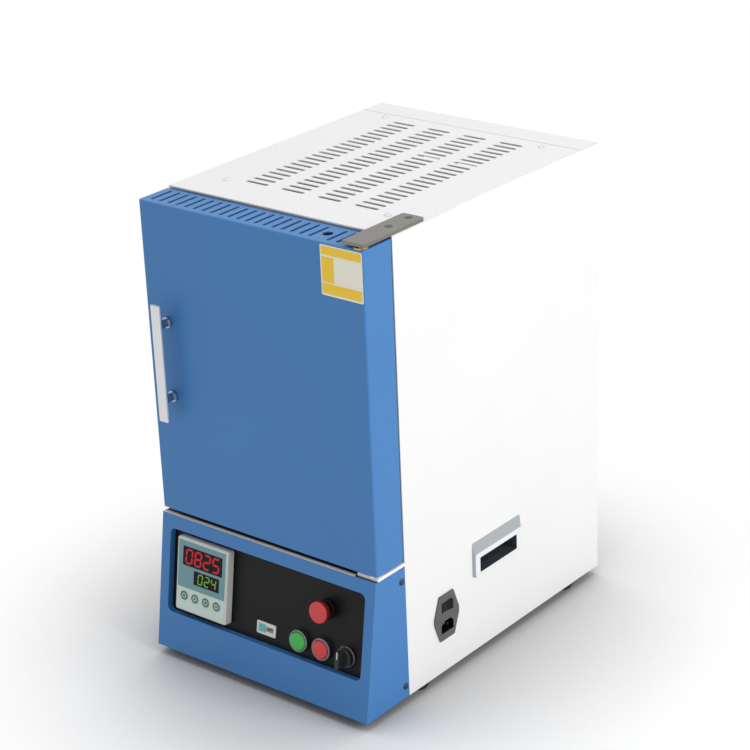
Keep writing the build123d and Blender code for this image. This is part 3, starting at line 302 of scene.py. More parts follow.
def ceramicFibre(name, colour, shade, depth=0.5, fibre=(3, 9, 4), pit=4):
    # vacuum-formed ceramic fibre board: chalky and matt, with matted fibres and small pits
    material, tree, shader, coords = newMaterial(name, colour, 0.95, Specular_IOR_Level=0.15)
    fibres = addNode(tree, "ShaderNodeTexNoise", {"Scale": 1.0, "Detail": 6.0, "Distortion": 1.2},
                     {"Vector": stretched(tree, coords, fibre)}).outputs["Fac"]
    pits = addNode(tree, "ShaderNodeTexVoronoi", {"Scale": perMetre(pit)}, {"Vector": coords})
    tinted(tree, shader, fibres, shade, colour)
    fibreShare = 1.4
    height = addNode(tree, "ShaderNodeMath", {1: fibreShare}, {0: fibres, 2: pits.outputs["Distance"]},
                     operation="MULTIPLY_ADD")
    bumped(tree, shader, height.outputs[0], depth)
    return material


def braidedTape(name, colour, shade, bundle=2.5):
    # woven silica tape: crossing bundles of yarn, where one unit of a wave's scale is about 6 bands
    material, tree, shader, coords = newMaterial(name, colour, 0.95, Sheen_Weight=0.2)
    across, along = [
        addNode(tree, "ShaderNodeTexWave", {"Scale": perMetre(bundle) / 6, "Distortion": 1.0},
                {"Vector": coords}, bands_direction=way).outputs["Fac"]
        for way in "XZ"
    ]
    weave = addNode(tree, "ShaderNodeMath", links={0: across, 1: along}, operation="MULTIPLY").outputs[0]
    tinted(tree, shader, weave, shade, colour)
    bumped(tree, shader, weave, depth=0.4)
    return material


def oxidisedWire(name, colour, shade, patch=6):
    # iron-chromium-aluminium wire after firing: dull grey-brown oxide with darker patches
    material, tree, shader, coords = newMaterial(name, colour, 0.6, metallic=0.7)
    tinted(tree, shader, noise(tree, coords, patch, detail=5.0), shade, colour)
    return material


def softRubber(name, colour, shade, patch=5):
    # moulded nitrile rubber: near black, dull, with a dusty bloom
    material, tree, shader, coords = newMaterial(name, colour, 0.75)
    bloom = noise(tree, coords, patch, detail=5.0)
    tinted(tree, shader, bloom, shade, colour)
    bumped(tree, shader, bloom, depth=0.05)
    return material


def litSegment(name, colour, strength, patch=2):
    # light-emitting segments behind a filter: flat, self-lit colour on a black ground
    material, tree, shader, coords = newMaterial(name, "#050505", 0.4, Emission_Strength=strength,
                                                 Specular_IOR_Level=0.2)
    shader.inputs["Emission Color"].default_value = linear(colour)
    roughened(tree, shader, noise(tree, coords, patch, detail=1.0), 0.4, less=0.05, more=0.1)
    return material


finishes = {
    "bluePowder": powderCoat("bluePowderCoat", "#397AB8", "#3674B1", 0.42),
    "whitePowder": powderCoat("whitePowderCoat", "#E9E9E9", "#E4E4E4", 0.45),
    "coverPowder": powderCoat("coverPowderCoat", "#EAEAEA", "#E5E5E5", 0.5),
    # grey for a thin strip on the cover: a painted shadow line behind the slot field
    "paintedShadowLine": powderCoat("paintedShadowLine", "#B9BBBB", "#B4B6B6", 0.6),
    # dark grey on the deck: painted shade for the gap under the door
    "deckPaintedShade": powderCoat("deckPaintedShadeCoat", "#3B3B3A", "#353534", 0.6),
    # pale beige: the housing's top edge, lightened as a painted highlight against the door's shade
    "edgePaintedHighlight": powderCoat("edgePaintedHighlight", "#F2EADC", "#EBE3D5", 0.5),
    "palePowder": powderCoat("palePowderCoat", "#F6F6F4", "#F0F0EE", 0.45),
    "zincSheet": brushedSteel("zincSheet", "#C9CCCF", "#AEB2B6", (40, 1.2, 1.2), 0.42),
    "hingeSteel": brushedSteel("hingeSteel", "#8C8A84", "#75736E", (0.8, 30, 0.8), 0.4),
    "dullSteel": brushedSteel("dullSteel", "#6B6D70", "#54565A", (1, 1, 12), 0.45),
    "brightPlate": platedMetal("brightPlate", "#D5D7D9", 0.18),
    "screwPlate": platedMetal("screwPlate", "#D5D6D8", 0.4),
    # blackened screw heads, and also the painted shade of the crosses in the pan heads
    "darkScrewAndCrossShade": platedMetal("darkScrewAndCrossShade", "#4A4C50", 0.35),
    "handleAlloy": brushedSteel("handleAlloy", "#E9EAEB", "#D9DBDC", (0.8, 0.8, 40), 0.35, metallic=0.35),
    "blackAcrylic": mouldedPlastic("blackAcrylic", "#0D0D0E", "#0B0B0C", 0.42, depth=0.01, gloss=0.2),
    "tealFace": glossySheet("tealFace", "#5A8C94", 0.3),
    "mintStrip": glossySheet("mintStrip", "#BFD3C8", 0.35),
    "lensSmoke": mouldedPlastic("lensSmoke", "#060505", "#050404", 0.3, depth=0.01, gloss=0.15),
    "controllerGrey": mouldedPlastic("controllerGrey", "#CFD1CB", "#C6C8C2", 0.45),
    "keyGrey": mouldedPlastic("keyGrey", "#A9C0B6", "#9DB4AA", 0.5),
    "keyMark": mouldedPlastic("keyMark", "#3E6561", "#375C58", 0.5),
    "portIvory": mouldedPlastic("portIvory", "#D9DAD5", "#CFD0CB", 0.4),
    "portTeal": mouldedPlastic("portTeal", "#5FB6B8", "#57ABAD", 0.4),
    "redCap": mouldedPlastic("redCap", "#D2393C", "#C63235", 0.3, grain=3, depth=0.01),
    # the cap's red darkened: painted shade on the mushroom's side
    "redCapPaintedShade": mouldedPlastic("redCapPaintedShade", "#7E141B", "#741218", 0.4, grain=3, depth=0.01),
    "greenCap": mouldedPlastic("greenCap", "#3DB54A", "#36AA43", 0.3, grain=3, depth=0.01),
    "blackRing": mouldedPlastic("blackRing", "#120B0C", "#0E090A", 0.6, gloss=0.12),
    "inletGrey": mouldedPlastic("inletGrey", "#565758", "#4E4F50", 0.5),
    # the grey of the bezel's slope and the dark of the hand hole are painted shade on one pale plastic
    "gripSlopePaintedShade": mouldedPlastic("gripSlopePaintedShade", "#A3A9AE", "#9BA1A6", 0.5),
    "gripFace": mouldedPlastic("gripFace", "#E4E7EA", "#DCDFE2", 0.5),
    "gripHolePaintedShade": mouldedPlastic("gripHolePaintedShade", "#3A4048", "#32373E", 0.6),
    # handle posts: plated steel tinted blue-grey and lightened, a painted reflection of the blue door and its
    # glint
    "postSteelPaintedReflection": platedMetal("postSteelPaintedReflection", "#A3AFBE", 0.24),
    "dimNickel": platedMetal("dimNickel", "#6D6A66", 0.4),
    "satinRing": platedMetal("satinRing", "#7C7E82", 0.34),
    "dimRing": platedMetal("dimRing", "#55575A", 0.35),
    "blackMoulding": mouldedPlastic("blackMoulding", "#1D1E20", "#17181A", 0.45),
    # black of the rocker, and also the painted shade in the inlet's cavities
    "rockerBlackAndCavityShade": mouldedPlastic("rockerBlackAndCavityShade", "#0D0D0E", "#0A0A0B", 0.5, gloss=0.2),
    "brass": platedMetal("turnedBrass", "#C9A253", 0.25),
    "rubber": softRubber("nitrileRubber", "#2A2A2B", "#141415"),
    "fibreBoard": ceramicFibre("fibreBoard", "#EFEDE7", "#DCD8CE"),
    "hearthCeramic": ceramicFibre("hearthCeramic", "#D9D0BE", "#C5BAA5", depth=0.2),
    "sheathCeramic": ceramicFibre("sheathCeramic", "#E2DCCE", "#D3CBBA", depth=0.1),
    "silicaTape": braidedTape("silicaTape", "#EFECE4", "#CFC9BB"),
    "firedWire": oxidisedWire("firedWire", "#857A70", "#3F3A37"),
    "finAluminium": brushedSteel("finAluminium", "#C7CACD", "#B2B5B9", (1, 20, 1), 0.4),
    "magnetShell": mouldedPlastic("magnetShell", "#26272A", "#1E1F22", 0.5),
    "redSegment": litSegment("redSegment", "#C41832", 0.85),
    "greenSegment": litSegment("greenSegment", "#6DA53A", 0.8),
    "stickerWhite": glossySheet("stickerWhite", "#E9E6D6", 0.35),
    "stickerYellow": glossySheet("stickerYellow", "#EFC400", 0.4),
    "whiteInk": mouldedPlastic("whiteInk", "#E4E6E8", "#DADCDE", 0.5),
}

wearing = {
    "bluePowder": ["door_shell", "control_housing"],
    "whitePowder": ["side_panel_left", "side_panel_right", "rear_panel"],
    "coverPowder": ["top_cover"],
    "deckPaintedShade": ["deck_plate"],
    "palePowder": ["hinge_plate_bottom"],
    "zincSheet": ["front_frame", "base_plate", "muffle_jacket", "jacket_rails", "door_liner"],
    "hingeSteel": ["hinge_plate_top"],
    "dullSteel": ["thermocouple_head"],
    "brightPlate": ["hinge_pins"],
    "postSteelPaintedReflection": ["handle_posts"],
    "gripHolePaintedShade": ["grip_cups", "grip_pockets"],
    "inletGrey": ["power_inlet"],
    "dimNickel": ["inlet_blades", "inlet_screws"],
    "darkScrewAndCrossShade": ["hinge_screws", "case_screws"],
    "handleAlloy": ["handle_bar"],
    "blackAcrylic": ["fascia_panel"],
    "tealFace": ["controller_face"],
    "lensSmoke": ["display_lenses"],
    "controllerGrey": ["controller_case"],
    "keyGrey": ["controller_key_1", "controller_key_2", "controller_key_3", "controller_key_4"],
    "portIvory": ["data_port", "terminal_block"],
    "redCap": ["stop_button_cap", "estop_head"],
    "greenCap": ["start_button_cap"],
    "blackRing": ["estop_base", "estop_stem"],
    "satinRing": ["start_button_base", "stop_button_base"],
    "dimRing": ["selector_base"],
    "blackMoulding": ["selector_knob", "power_relay"],
    "rockerBlackAndCavityShade": ["inlet_rocker"],
    "brass": ["hinge_bushes"],
    "rubber": ["feet"],
    "fibreBoard": ["mouth_collar", "hearth_board", "roof_board", "wall_boards", "back_board", "door_plug"],
    "hearthCeramic": ["hearth_plate"],
    "sheathCeramic": ["thermocouple_sheath"],
    "silicaTape": ["door_seal"],
    "firedWire": ["heating_elements"],
    "finAluminium": ["heat_sink"],
    "magnetShell": ["catch_magnet"],
}
for finish, names in wearing.items():
    for name in names:
        mesh = nodes[name].data
        mesh.materials.clear()
        mesh.materials.append(finishes[finish])


def repainted(node, finish, chosen):
    # a second finish on the faces whose middle passes a test
    mesh, place = nodes[node].data, nodes[node].matrix_world
    mesh.materials.append(finishes[finish])
    for face in mesh.polygons:
        face.material_index = 1 if chosen(place @ face.center) else 0


# the cover's screws are bright zinc, and the inlet's faces deeper than its grey flange are black, painted
# shade in its cavities
repaint = {"coverScrewsAbove": 590, "inletFlange": 2.6}
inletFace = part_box("power_inlet")[1].x
repainted("case_screws", "screwPlate", lambda middle: middle.z > repaint["coverScrewsAbove"] * mm)
repainted("power_inlet", "rockerBlackAndCavityShade", lambda middle: inletFace - middle.x > repaint["inletFlange"] * mm)
dressed = sorted(n for names in wearing.values() for n in names)
print("finishes on", len(dressed), "nodes; bare:", sorted(set(nodes) - set(dressed)))


# Flat and built-up pieces: outlines, heights and thicknesses in millimetres, places in metres

panelTilt = math.radians(9)
panelRight = Vector((1, 0, 0))
panelUp = Vector((0, math.sin(panelTilt), math.cos(panelTilt)))
panelOut = panelRight.cross(panelUp)
panelPlane = (panelRight, panelUp)
frontPlane = (Vector((1, 0, 0)), Vector((0, 0, 1)))
levelPlane = (Vector((1, 0, 0)), Vector((0, 1, 0)))


def placed(piece, body):
    bpy.context.scene.collection.objects.link(piece)
    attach(piece, body)
    return piece


def shown(name, verts, faces, finish, body):
    # a mesh made here, given its finish and put on its body
    mesh = bpy.data.meshes.new(name)
    mesh.from_pydata([tuple(v) for v in verts], [], faces)
    mesh.materials.append(finishes[finish])
    return placed(bpy.data.objects.new(name, mesh), body)


def raised(outline, origin, plane, height=0):
    # an outline's points, laid on a plane through the origin or at a height over it
    right, up = plane
    outward = right.cross(up).normalized()
    return [Vector(origin) + (right * a + up * b + outward * height) * mm for a, b in outline]


def band(count, low, high):
    # faces between two closed rows of points, given where each row starts
    pairs = [(i, (i + 1) % count) for i in range(count)]
    return [(low + i, low + j, high + j, high + i) for i, j in pairs]


def prism(name, outline, origin, plane, thickness, finish, body):
    # a flat outline with a thickness
    count = len(outline)
    verts = raised(outline, origin, plane) + raised(outline, origin, plane, thickness)
    faces = [tuple(range(count))[::-1], tuple(range(count, 2 * count))] + band(count, 0, count)
    return shown(name, verts, faces, finish, body)


def ringPrism(name, outer, inner, origin, plane, thickness, finish, body):
    # the ring between two outlines with as many points each, with a thickness
    verts = raised(outer + inner, origin, plane) + raised(outer + inner, origin, plane, thickness)
    count = len(outer)
    innerLow, outerHigh, innerHigh = count, 2 * count, 3 * count
    faces = (band(count, innerLow, 0) + band(count, outerHigh, innerHigh)
             + band(count, 0, outerHigh) + band(count, innerHigh, innerLow))
    return shown(name, verts, faces, finish, body)


def bandPiece(name, lower, upper, rise, origin, plane, finish, body):
    # the bare surface between two outlines, the second one at a rise over the first
    verts = raised(lower, origin, plane) + raised(upper, origin, plane, rise)
    return shown(name, verts, band(len(lower), 0, len(lower)), finish, body)


def joined(name, parts, finish, body):
    # several pieces of one finish become one piece
    verts, faces = [], []
    for part in parts:
        start = len(verts)
        verts += [tuple(v.co) for v in part.data.vertices]
        faces += [tuple(start + i for i in p.vertices) for p in part.data.polygons]
    for part in parts:
        bpy.data.objects.remove(part)
    return shown(name, verts, faces, finish, body)


def rectangle(width, height, centre=(0, 0)):
    a, b = width / 2, height / 2
    return [(centre[0] + x, centre[1] + y) for x, y in ((-a, -b), (a, -b), (a, b), (-a, b))]


def roundedRectangle(width, height, radius, centre=(0, 0), steps=5):
    points = []
    for cx, cy, start in ((1, 1, 0), (-1, 1, 90), (-1, -1, 180), (1, -1, 270)):
        for i in range(steps + 1):
            angle = math.radians(start + 90 * i / steps)
            points.append((centre[0] + cx * (width / 2 - radius) + radius * math.cos(angle),
                           centre[1] + cy * (height / 2 - radius) + radius * math.sin(angle)))
    return points


def circle(radius, steps=32):
    angles = [2 * math.pi * i / steps for i in range(steps)]
    return [(radius * math.cos(angle), radius * math.sin(angle)) for angle in angles]


def turned(name, outline, origin, axis, finish, body, steps=48, sharpFrom=32):
    # an outline of (radius, height), from the axis round to the axis, turned about it
    axis = Vector(axis).normalized()
    side = axis.orthogonal().normalized()
    across = axis.cross(side)
    verts, rings = [], []
    for radius, height in outline:
        count = steps if radius else 1
        rings.append(range(len(verts), len(verts) + count))
        for k in range(count):
            angle = 2 * math.pi * k / steps
            spoke = (side * math.cos(angle) + across * math.sin(angle)) * radius
            verts.append(Vector(origin) + (axis * height + spoke) * mm)
    faces = []
    for low, high in zip(rings, rings[1:]):
        for k in range(steps):
            j = (k + 1) % steps
            if len(low) == 1:
                faces.append((low[0], high[j], high[k]))
            elif len(high) == 1:
                faces.append((low[k], low[j], high[0]))
            else:
                faces.append((low[k], low[j], high[j], high[k]))
    piece = shown(name, verts, faces, finish, body)
    piece.data.shade_smooth()
    piece.data.set_sharp_from_angle(angle=math.radians(sharpFrom))
    return piece


def boxCentre(node):
    low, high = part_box(node)
    return (low + high) / 2


def worldPoints(node):
    return [nodes[node].matrix_world @ v.co for v in nodes[node].data.vertices]


# Controller's printed front, its windows and the figures in them

controllerFront = {"surface": 0.6, "sheet": 0.2, "windowCorner": 1}
frontSheets = {
    "controller_front": {"size": (78.0, 61.5), "rise": -1.25, "finish": "tealFace",
                         "slot": "controller_teal"},
    "controller_strip": {"size": (78.0, 27.5), "rise": -46.0, "finish": "mintStrip",
                         "slot": "controller_grey"},
}
windows = {
    "upper": {"size": (65.0, 25.0), "centre": (1.2, 10.0)},
    "lower": {"size": (42.0, 18.0), "centre": (8.5, -15.3)},
}
digits = {
    "upper": {"text": "0825", "across": 1.2, "rise": 10.0, "height": 18.0, "width": 9.6, "pitch": 14.8,
              "stroke": 2.6, "finish": "redSegment"},
    "lower": {"text": "024", "across": 9.5, "rise": -15.3, "height": 12.6, "width": 6.8, "pitch": 11.0,
              "stroke": 1.8, "finish": "greenSegment"},
}
figures = {"slant": 0.1, "thickness": 0.12, "gapShare": 0.12}
segmentsLit = {"0": "abcdef", "2": "abged", "4": "fgbc", "5": "afgcd", "8": "abcdefg"}


def segmentOutline(key, width, height, stroke):
    # one bar of a seven-segment figure, with pointed ends
    a, b, s, gap = width / 2, height / 2, stroke / 2, stroke * figures["gapShare"]
    ends = {
        "a": ((-a, b), (a, b)), "g": ((-a, 0), (a, 0)), "d": ((-a, -b), (a, -b)),
        "f": ((-a, 0), (-a, b)), "b": ((a, 0), (a, b)), "e": ((-a, -b), (-a, 0)), "c": ((a, -b), (a, 0)),
    }[key]
    (x0, y0), (x1, y1) = ends
    if y0 == y1:
        x0, x1 = x0 + gap, x1 - gap
        return [(x0, y0), (x0 + s, y0 - s), (x1 - s, y0 - s), (x1, y0), (x1 - s, y0 + s), (x0 + s, y0 + s)]
    y0, y1 = y0 + gap, y1 - gap
    return [(x0, y0), (x0 + s, y0 + s), (x0 + s, y1 - s), (x0, y1), (x0 - s, y1 - s), (x0 - s, y0 + s)]


sheetStep = panelOut * controllerFront["sheet"] * mm
sheetSpot = boxCentre("controller_face") + panelOut * controllerFront["surface"] * mm
windowSpot = sheetSpot + sheetStep
digitSpot = windowSpot + sheetStep
for name, sheet in frontSheets.items():
    prism(name, rectangle(*sheet["size"], (0, sheet["rise"])), sheetSpot, panelPlane,
          controllerFront["sheet"], sheet["finish"], "furnace")
for row, window in windows.items():
    outline = roundedRectangle(*window["size"], controllerFront["windowCorner"], window["centre"])
    prism(f"{row}_window", outline, windowSpot, panelPlane, controllerFront["sheet"], "lensSmoke",
          "furnace")
for row, spec in digits.items():
    bars = []
    for place, figure in enumerate(spec["text"]):
        shift = (place - (len(spec["text"]) - 1) / 2) * spec["pitch"] + spec["across"]
        for key in segmentsLit[figure]:
            outline = segmentOutline(key, spec["width"], spec["height"], spec["stroke"])
            outline = [(x + y * figures["slant"] + shift, y + spec["rise"]) for x, y in outline]
            bars.append(prism(f"{row}Bar{place}{key}", outline, digitSpot, panelPlane,
                              figures["thickness"], spec["finish"], "furnace"))
    joined(f"{row}_digits", bars, spec["finish"], "furnace")
print("display figures made")


# Blank sticker on the door: blocks of plain colour where the real one has a printed notice

sticker = {"across": 139, "up": 564, "lift": 0.02, "thickness": 0.25}
stickerBlocks = {
    "sticker_base": {"outline": roundedRectangle(60, 60, 2), "layer": 0, "finish": "stickerWhite"},
    "sticker_band": {"outline": rectangle(57, 10, (0, 23.5)), "layer": 1, "finish": "stickerYellow"},
    "sticker_left": {"outline": rectangle(17, 30, (-19.5, 1)), "layer": 1, "finish": "stickerYellow"},
    "sticker_foot": {"outline": rectangle(57, 12, (0, -21.5)), "layer": 1, "finish": "stickerYellow"},
}
doorLow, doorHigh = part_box("door_shell")
for name, block in stickerBlocks.items():
    outwards = sticker["lift"] + block["layer"] * sticker["thickness"]
    spot = (sticker["across"] * mm, doorLow.y - outwards * mm, sticker["up"] * mm)
    prism(name, block["outline"], spot, frontPlane, sticker["thickness"], block["finish"], "door")
print("blank sticker made")


# Heating coils: wire wound to the size of the solid coils and laid along the same hairpins

coil = {
    "wire": 2.0,
    "pitch": 5.2,
    "stepsPerTurn": 14,
    "bend": 19.9,
    "runs": 4,
    "solidRadius": 5.5,
    "backBoard": 22,
}


def roundedRoute(points, radius, step):
    # points along straight runs joined by arcs, about one step apart
    route = []
    for i, corner in enumerate(points):
        if i in (0, len(points) - 1):
            route.append(corner)
            continue
        toBefore = (points[i - 1] - corner).normalized()
        toAfter = (points[i + 1] - corner).normalized()
        start, end = corner + toBefore * radius, corner + toAfter * radius
        centre = corner + (toBefore + toAfter) * radius
        count = max(4, int(radius * math.pi / 2 / step))
        for k in range(count + 1):
            angle = math.pi / 2 * k / count
            route.append(centre + (start - centre) * math.cos(angle) + (end - centre) * math.sin(angle))
    fine = [route[0]]
    for after in route[1:]:
        before = fine[-1]
        count = max(1, round((after - before).length / step))
        fine += [before.lerp(after, k / count) for k in range(1, count + 1)]
    return fine


def windCoil(name, x, low, high, front, back, leadReach):
    # hairpins in the plane x, between the heights low and high
    runs = coil["runs"]
    heights = [high + (low - high) * i / (runs - 1) for i in range(runs)]
    points = [Vector((x, back, heights[0]))]
    for i in range(runs - 1):
        turnAt = front if i % 2 == 0 else back - leadReach
        points += [Vector((x, turnAt, heights[i])), Vector((x, turnAt, heights[i + 1]))]
    points.append(Vector((x, back, heights[-1])))
    route = roundedRoute(points, coil["bend"] * mm, coil["pitch"] / coil["stepsPerTurn"] * mm)
    radius = (coil["solidRadius"] - coil["wire"] / 2) * mm
    wire = []
    for i, point in enumerate(route):
        along = (route[min(i + 1, len(route) - 1)] - route[max(i - 1, 0)]).normalized()
        outwards = Vector((1, 0, 0))
        across = outwards.cross(along)
        angle = 2 * math.pi * i / coil["stepsPerTurn"]
        wire.append(point + (outwards * math.cos(angle) + across * math.sin(angle)) * radius)
    curve = bpy.data.curves.new(name, "CURVE")
    curve.dimensions = "3D"
    curve.bevel_depth = coil["wire"] / 2 * mm
    curve.bevel_resolution = 1
    curve.use_fill_caps = True
    spline = curve.splines.new("POLY")
    spline.points.add(len(wire) - 1)
    for point, p in zip(spline.points, wire):
        point.co = (p.x, p.y, p.z, 1)
    curve.materials.append(finishes["firedWire"])
    return placed(bpy.data.objects.new(name, curve), "furnace")


elementLow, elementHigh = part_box("heating_elements")
elementRadius = coil["solidRadius"] * mm
leadReach = elementHigh.y - (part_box("wall_boards")[1].y - coil["backBoard"] * mm)
coilPieces = [
    windCoil(f"{word}_coil", x, elementLow.z + elementRadius, elementHigh.z - elementRadius,
             elementLow.y + elementRadius, elementHigh.y, leadReach)
    for word, x in (("left", elementLow.x + elementRadius), ("right", elementHigh.x - elementRadius))
]
for piece in coilPieces:
    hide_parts("heating_elements")
print("heating coils wound")


# Screw recesses: a dark cross in each pan head, painted shade where the recess would be

crossShade = {"arm": 4.4, "width": 1.0, "lift": 0.02, "depth": 0.25, "coverAbove": 300}


def crossOutline(arm, width):
    a, w = arm / 2, width / 2
    return [(-w, -a), (w, -a), (w, -w), (a, -w), (a, w), (w, w), (w, a), (-w, a), (-w, w), (-a, w), (-a, -w),
            (-w, -w)]


def looseShells(node):
    # the separate solids of one node, each as its box's low and high corner
    mesh = nodes[node].data
    parent = list(range(len(mesh.vertices)))

    def root(i):
        while parent[i] != i:
            parent[i] = parent[parent[i]]
            i = parent[i]
        return i

    places = {}
    for v in mesh.vertices:
        key = tuple(round(c * 1e6) for c in v.co)
        if key in places:
            parent[root(v.index)] = root(places[key])
        else:
            places[key] = v.index
    for e in mesh.edges:
        parent[root(e.vertices[0])] = root(e.vertices[1])
    groups = {}
    for v in mesh.vertices:
        groups.setdefault(root(v.index), []).append(v.co)
    return [tuple(Vector([reach(p[k] for p in g) for k in range(3)]) for reach in (min, max))
            for g in groups.values()]


crosses = []
for low, high in looseShells("case_screws"):
    size, middle = high - low, (low + high) / 2
    if size.z > size.x and middle.z > crossShade["coverAbove"] * mm:  # cover screws stand upright on top
        origin, plane = Vector((middle.x, middle.y, high.z)), levelPlane
    elif size.y > size.x:  # rear screws
        origin = Vector((middle.x, high.y, middle.z))
        plane = (Vector((-1, 0, 0)), Vector((0, 0, 1)))
    elif size.x > size.z:  # side screws
        side = 1 if middle.x > 0 else -1
        origin = Vector((high.x if side > 0 else low.x, middle.y, middle.z))
        plane = (Vector((0, side, 0)), Vector((0, 0, 1)))
    else:
        continue
    start = origin - plane[0].cross(plane[1]) * (crossShade["depth"] - crossShade["lift"]) * mm
    crosses.append(prism(f"cross{len(crosses)}", crossOutline(crossShade["arm"], crossShade["width"]), start, plane,
                         crossShade["depth"], "darkScrewAndCrossShade", "furnace"))
joined("screw_crosses", crosses, "darkScrewAndCrossShade", "furnace")
print("screw crosses:", len(crosses))


# Ring and plain mark on each of the controller's keys

keyMark = {"rise": 1.95, "outer": 5.7, "inner": 3.7, "thickness": 0.1}
markOutlines = [rectangle(3.4, 3.4), [(0, 2.2), (-2.1, -1.3), (2.1, -1.3)]]
for i in range(4):
    top = boxCentre(f"controller_key_{i + 1}") + panelOut * keyMark["rise"] * mm
    ringPrism(f"key_ring_{i + 1}", circle(keyMark["outer"]), circle(keyMark["inner"]), top, panelPlane,
              keyMark["thickness"], "keyMark", f"key_{i + 1}")
    prism(f"key_mark_{i + 1}", markOutlines[i % 2], top, panelPlane, keyMark["thickness"], "keyMark",
          f"key_{i + 1}")
print("key marks made")


# Push buttons and mushroom head, turned to the fuller shape of the real ones

buttonCup = [(0, -34), (11, -34), (11, 0), (14, 0), (14, 6), (13.4, 6.6), (12.2, 6.6), (11.8, 6.2),
             (11.8, 0.4), (0, 0.4)]
buttonCap = [(0, 4), (11.5, 4), (11.5, 7.4), (10.7, 8.5), (8.6, 9.2), (5, 9.6), (0, 9.7)]
mushroomSide = [(0, 7.8), (11, 7.8), (12.8, 10), (13.8, 13), (14, 15), (14, 17), (13.6, 17.6), (0, 17.6)]
mushroomFace = [(0, 17.6), (13.1, 17.6), (12.9, 18), (12, 18.3), (8, 18.5), (0, 18.5)]
fasciaHalf = 1


def fasciaSpot(node):
    # the point on the fascia's face under a turned node
    middle = boxCentre(node)
    depth = (middle - boxCentre("fascia_panel")).dot(panelOut) - fasciaHalf * mm
    return middle - panelOut * depth


for word, finish in (("start", "greenCap"), ("stop", "redCap")):
    cap = f"{word}_button_cap"
    cup = turned(f"{word}_ring", buttonCup, fasciaSpot(cap), panelOut, "satinRing", "furnace")
    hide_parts(f"{word}_button_base")
    face = turned(f"{word}_face", buttonCap, fasciaSpot(cap), panelOut, finish, f"{word}_button")
    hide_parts(cap)
# the mushroom's side wears the cap's red darkened as painted shade, and its face the plain red
for part, outline, finish in (("side", mushroomSide, "redCapPaintedShade"), ("face", mushroomFace, "redCap")):
    headPiece = turned(f"mushroom_{part}", outline, fasciaSpot("estop_head"), panelOut, finish, "stop_head")
    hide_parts("estop_head")


# Pointer line on the selector's grip, and the teal end of the data port

pointer = {"width": 1.2, "length": 9.0, "rise": 6.0, "depth": 0.3}
portPlate = {"width": 11.0, "height": 10.5, "across": -6.6, "thickness": 0.2, "level": 0.01}

knobFront = max(p.dot(panelOut) for p in worldPoints("selector_knob"))
knobMiddle = boxCentre("selector_base")
pointerSpot = knobMiddle + panelOut * (knobFront - knobMiddle.dot(panelOut) - pointer["depth"] / 2 * mm)
prism("selector_pointer", rectangle(pointer["width"], pointer["length"], (0, pointer["rise"])), pointerSpot,
      panelPlane, pointer["depth"], "whiteInk", "selector")

portPoints = worldPoints("data_port")
portFront = max(p.dot(panelOut) for p in portPoints)
portFace = [p for p in portPoints if portFront - p.dot(panelOut) < portPlate["level"] * mm]
portSpot = panelOut * portFront
for way in panelPlane:
    reaches = [p.dot(way) for p in portFace]
    portSpot += way * (min(reaches) + max(reaches)) / 2
prism("port_plate", rectangle(portPlate["width"], portPlate["height"], (portPlate["across"], 0)), portSpot,
      panelPlane, portPlate["thickness"], "portTeal", "furnace")
print("buttons turned")


# Skirt under the door's lower edge, a pale strip painted as the lit edge of the housing, and a grey strip
# painted as the shadow line behind the cover's slots

skirt = {"drop": 3.2, "wall": 1.5, "radius": 2.5, "proud": 0.06, "lap": 3.2}
housingEdge = {"front": 1.6, "width": 5.4, "height": 0.15, "sideGap": 1.6}
coverShadowLine = {"fromFront": 371, "width": 1.0, "height": 0.12}

doorWide, doorDeep = (doorHigh.x - doorLow.x) / mm, (doorHigh.y - doorLow.y) / mm
skirtSpot = ((doorLow.x + doorHigh.x) / 2, (doorLow.y + doorHigh.y) / 2, doorLow.z - skirt["drop"] * mm)
skirtOuter, skirtInner = (
    roundedRectangle(doorWide + 2 * more, doorDeep + 2 * more, radius)
    for more, radius in ((skirt["proud"], skirt["radius"]), (-skirt["wall"], skirt["radius"] - skirt["wall"]))
)
ringPrism("door_skirt", skirtOuter, skirtInner, skirtSpot, levelPlane, skirt["drop"] + skirt["lap"],
          "bluePowder", "door")

deckLow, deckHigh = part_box("deck_plate")
edgeLeft, edgeRight = deckLow.x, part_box("hinge_plate_bottom")[0].x - housingEdge["sideGap"] * mm
edgeSpot = (
    (edgeLeft + edgeRight) / 2,
    deckLow.y + (housingEdge["width"] / 2 - housingEdge["front"]) * mm,
    max(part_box("control_housing")[1].z, deckHigh.z),
)
# a pale strip on the deck for the housing's top edge, lightened as a painted highlight where the door shades
# it
prism("housing_edge", rectangle((edgeRight - edgeLeft) / mm, housingEdge["width"]), edgeSpot, levelPlane,
      housingEdge["height"], "edgePaintedHighlight", "furnace")

coverLow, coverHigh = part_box("top_cover")
coverWide, coverDeep = (coverHigh.x - coverLow.x) / mm, (coverHigh.y - coverLow.y) / mm
# a grey strip across the cover, a painted shadow line behind the slots
prism("cover_shadow_line", rectangle(coverWide, coverShadowLine["width"]),
      (0, coverLow.y + coverShadowLine["fromFront"] * mm, coverHigh.z), levelPlane, coverShadowLine["height"], "paintedShadowLine",
      "furnace")
print("skirt and crease made")


# Top cover, cut with slots as wide as the photograph's

slots = {
    "columns": 4,
    "columnPitch": 56,
    "rows": 22,
    "rowPitch": 13.5,
    "length": 35.5,
    "width": 5.6,
    "sheet": 1.5,
}


def slotOutline(length, width, steps=6):
    half, radius = (length - width) / 2, width / 2
    ends = []
    for side, start in ((1, -math.pi / 2), (-1, math.pi / 2)):
        for k in range(steps + 1):
            angle = start + math.pi * k / steps
            ends.append((side * half + radius * math.cos(angle), radius * math.sin(angle)))
    return ends


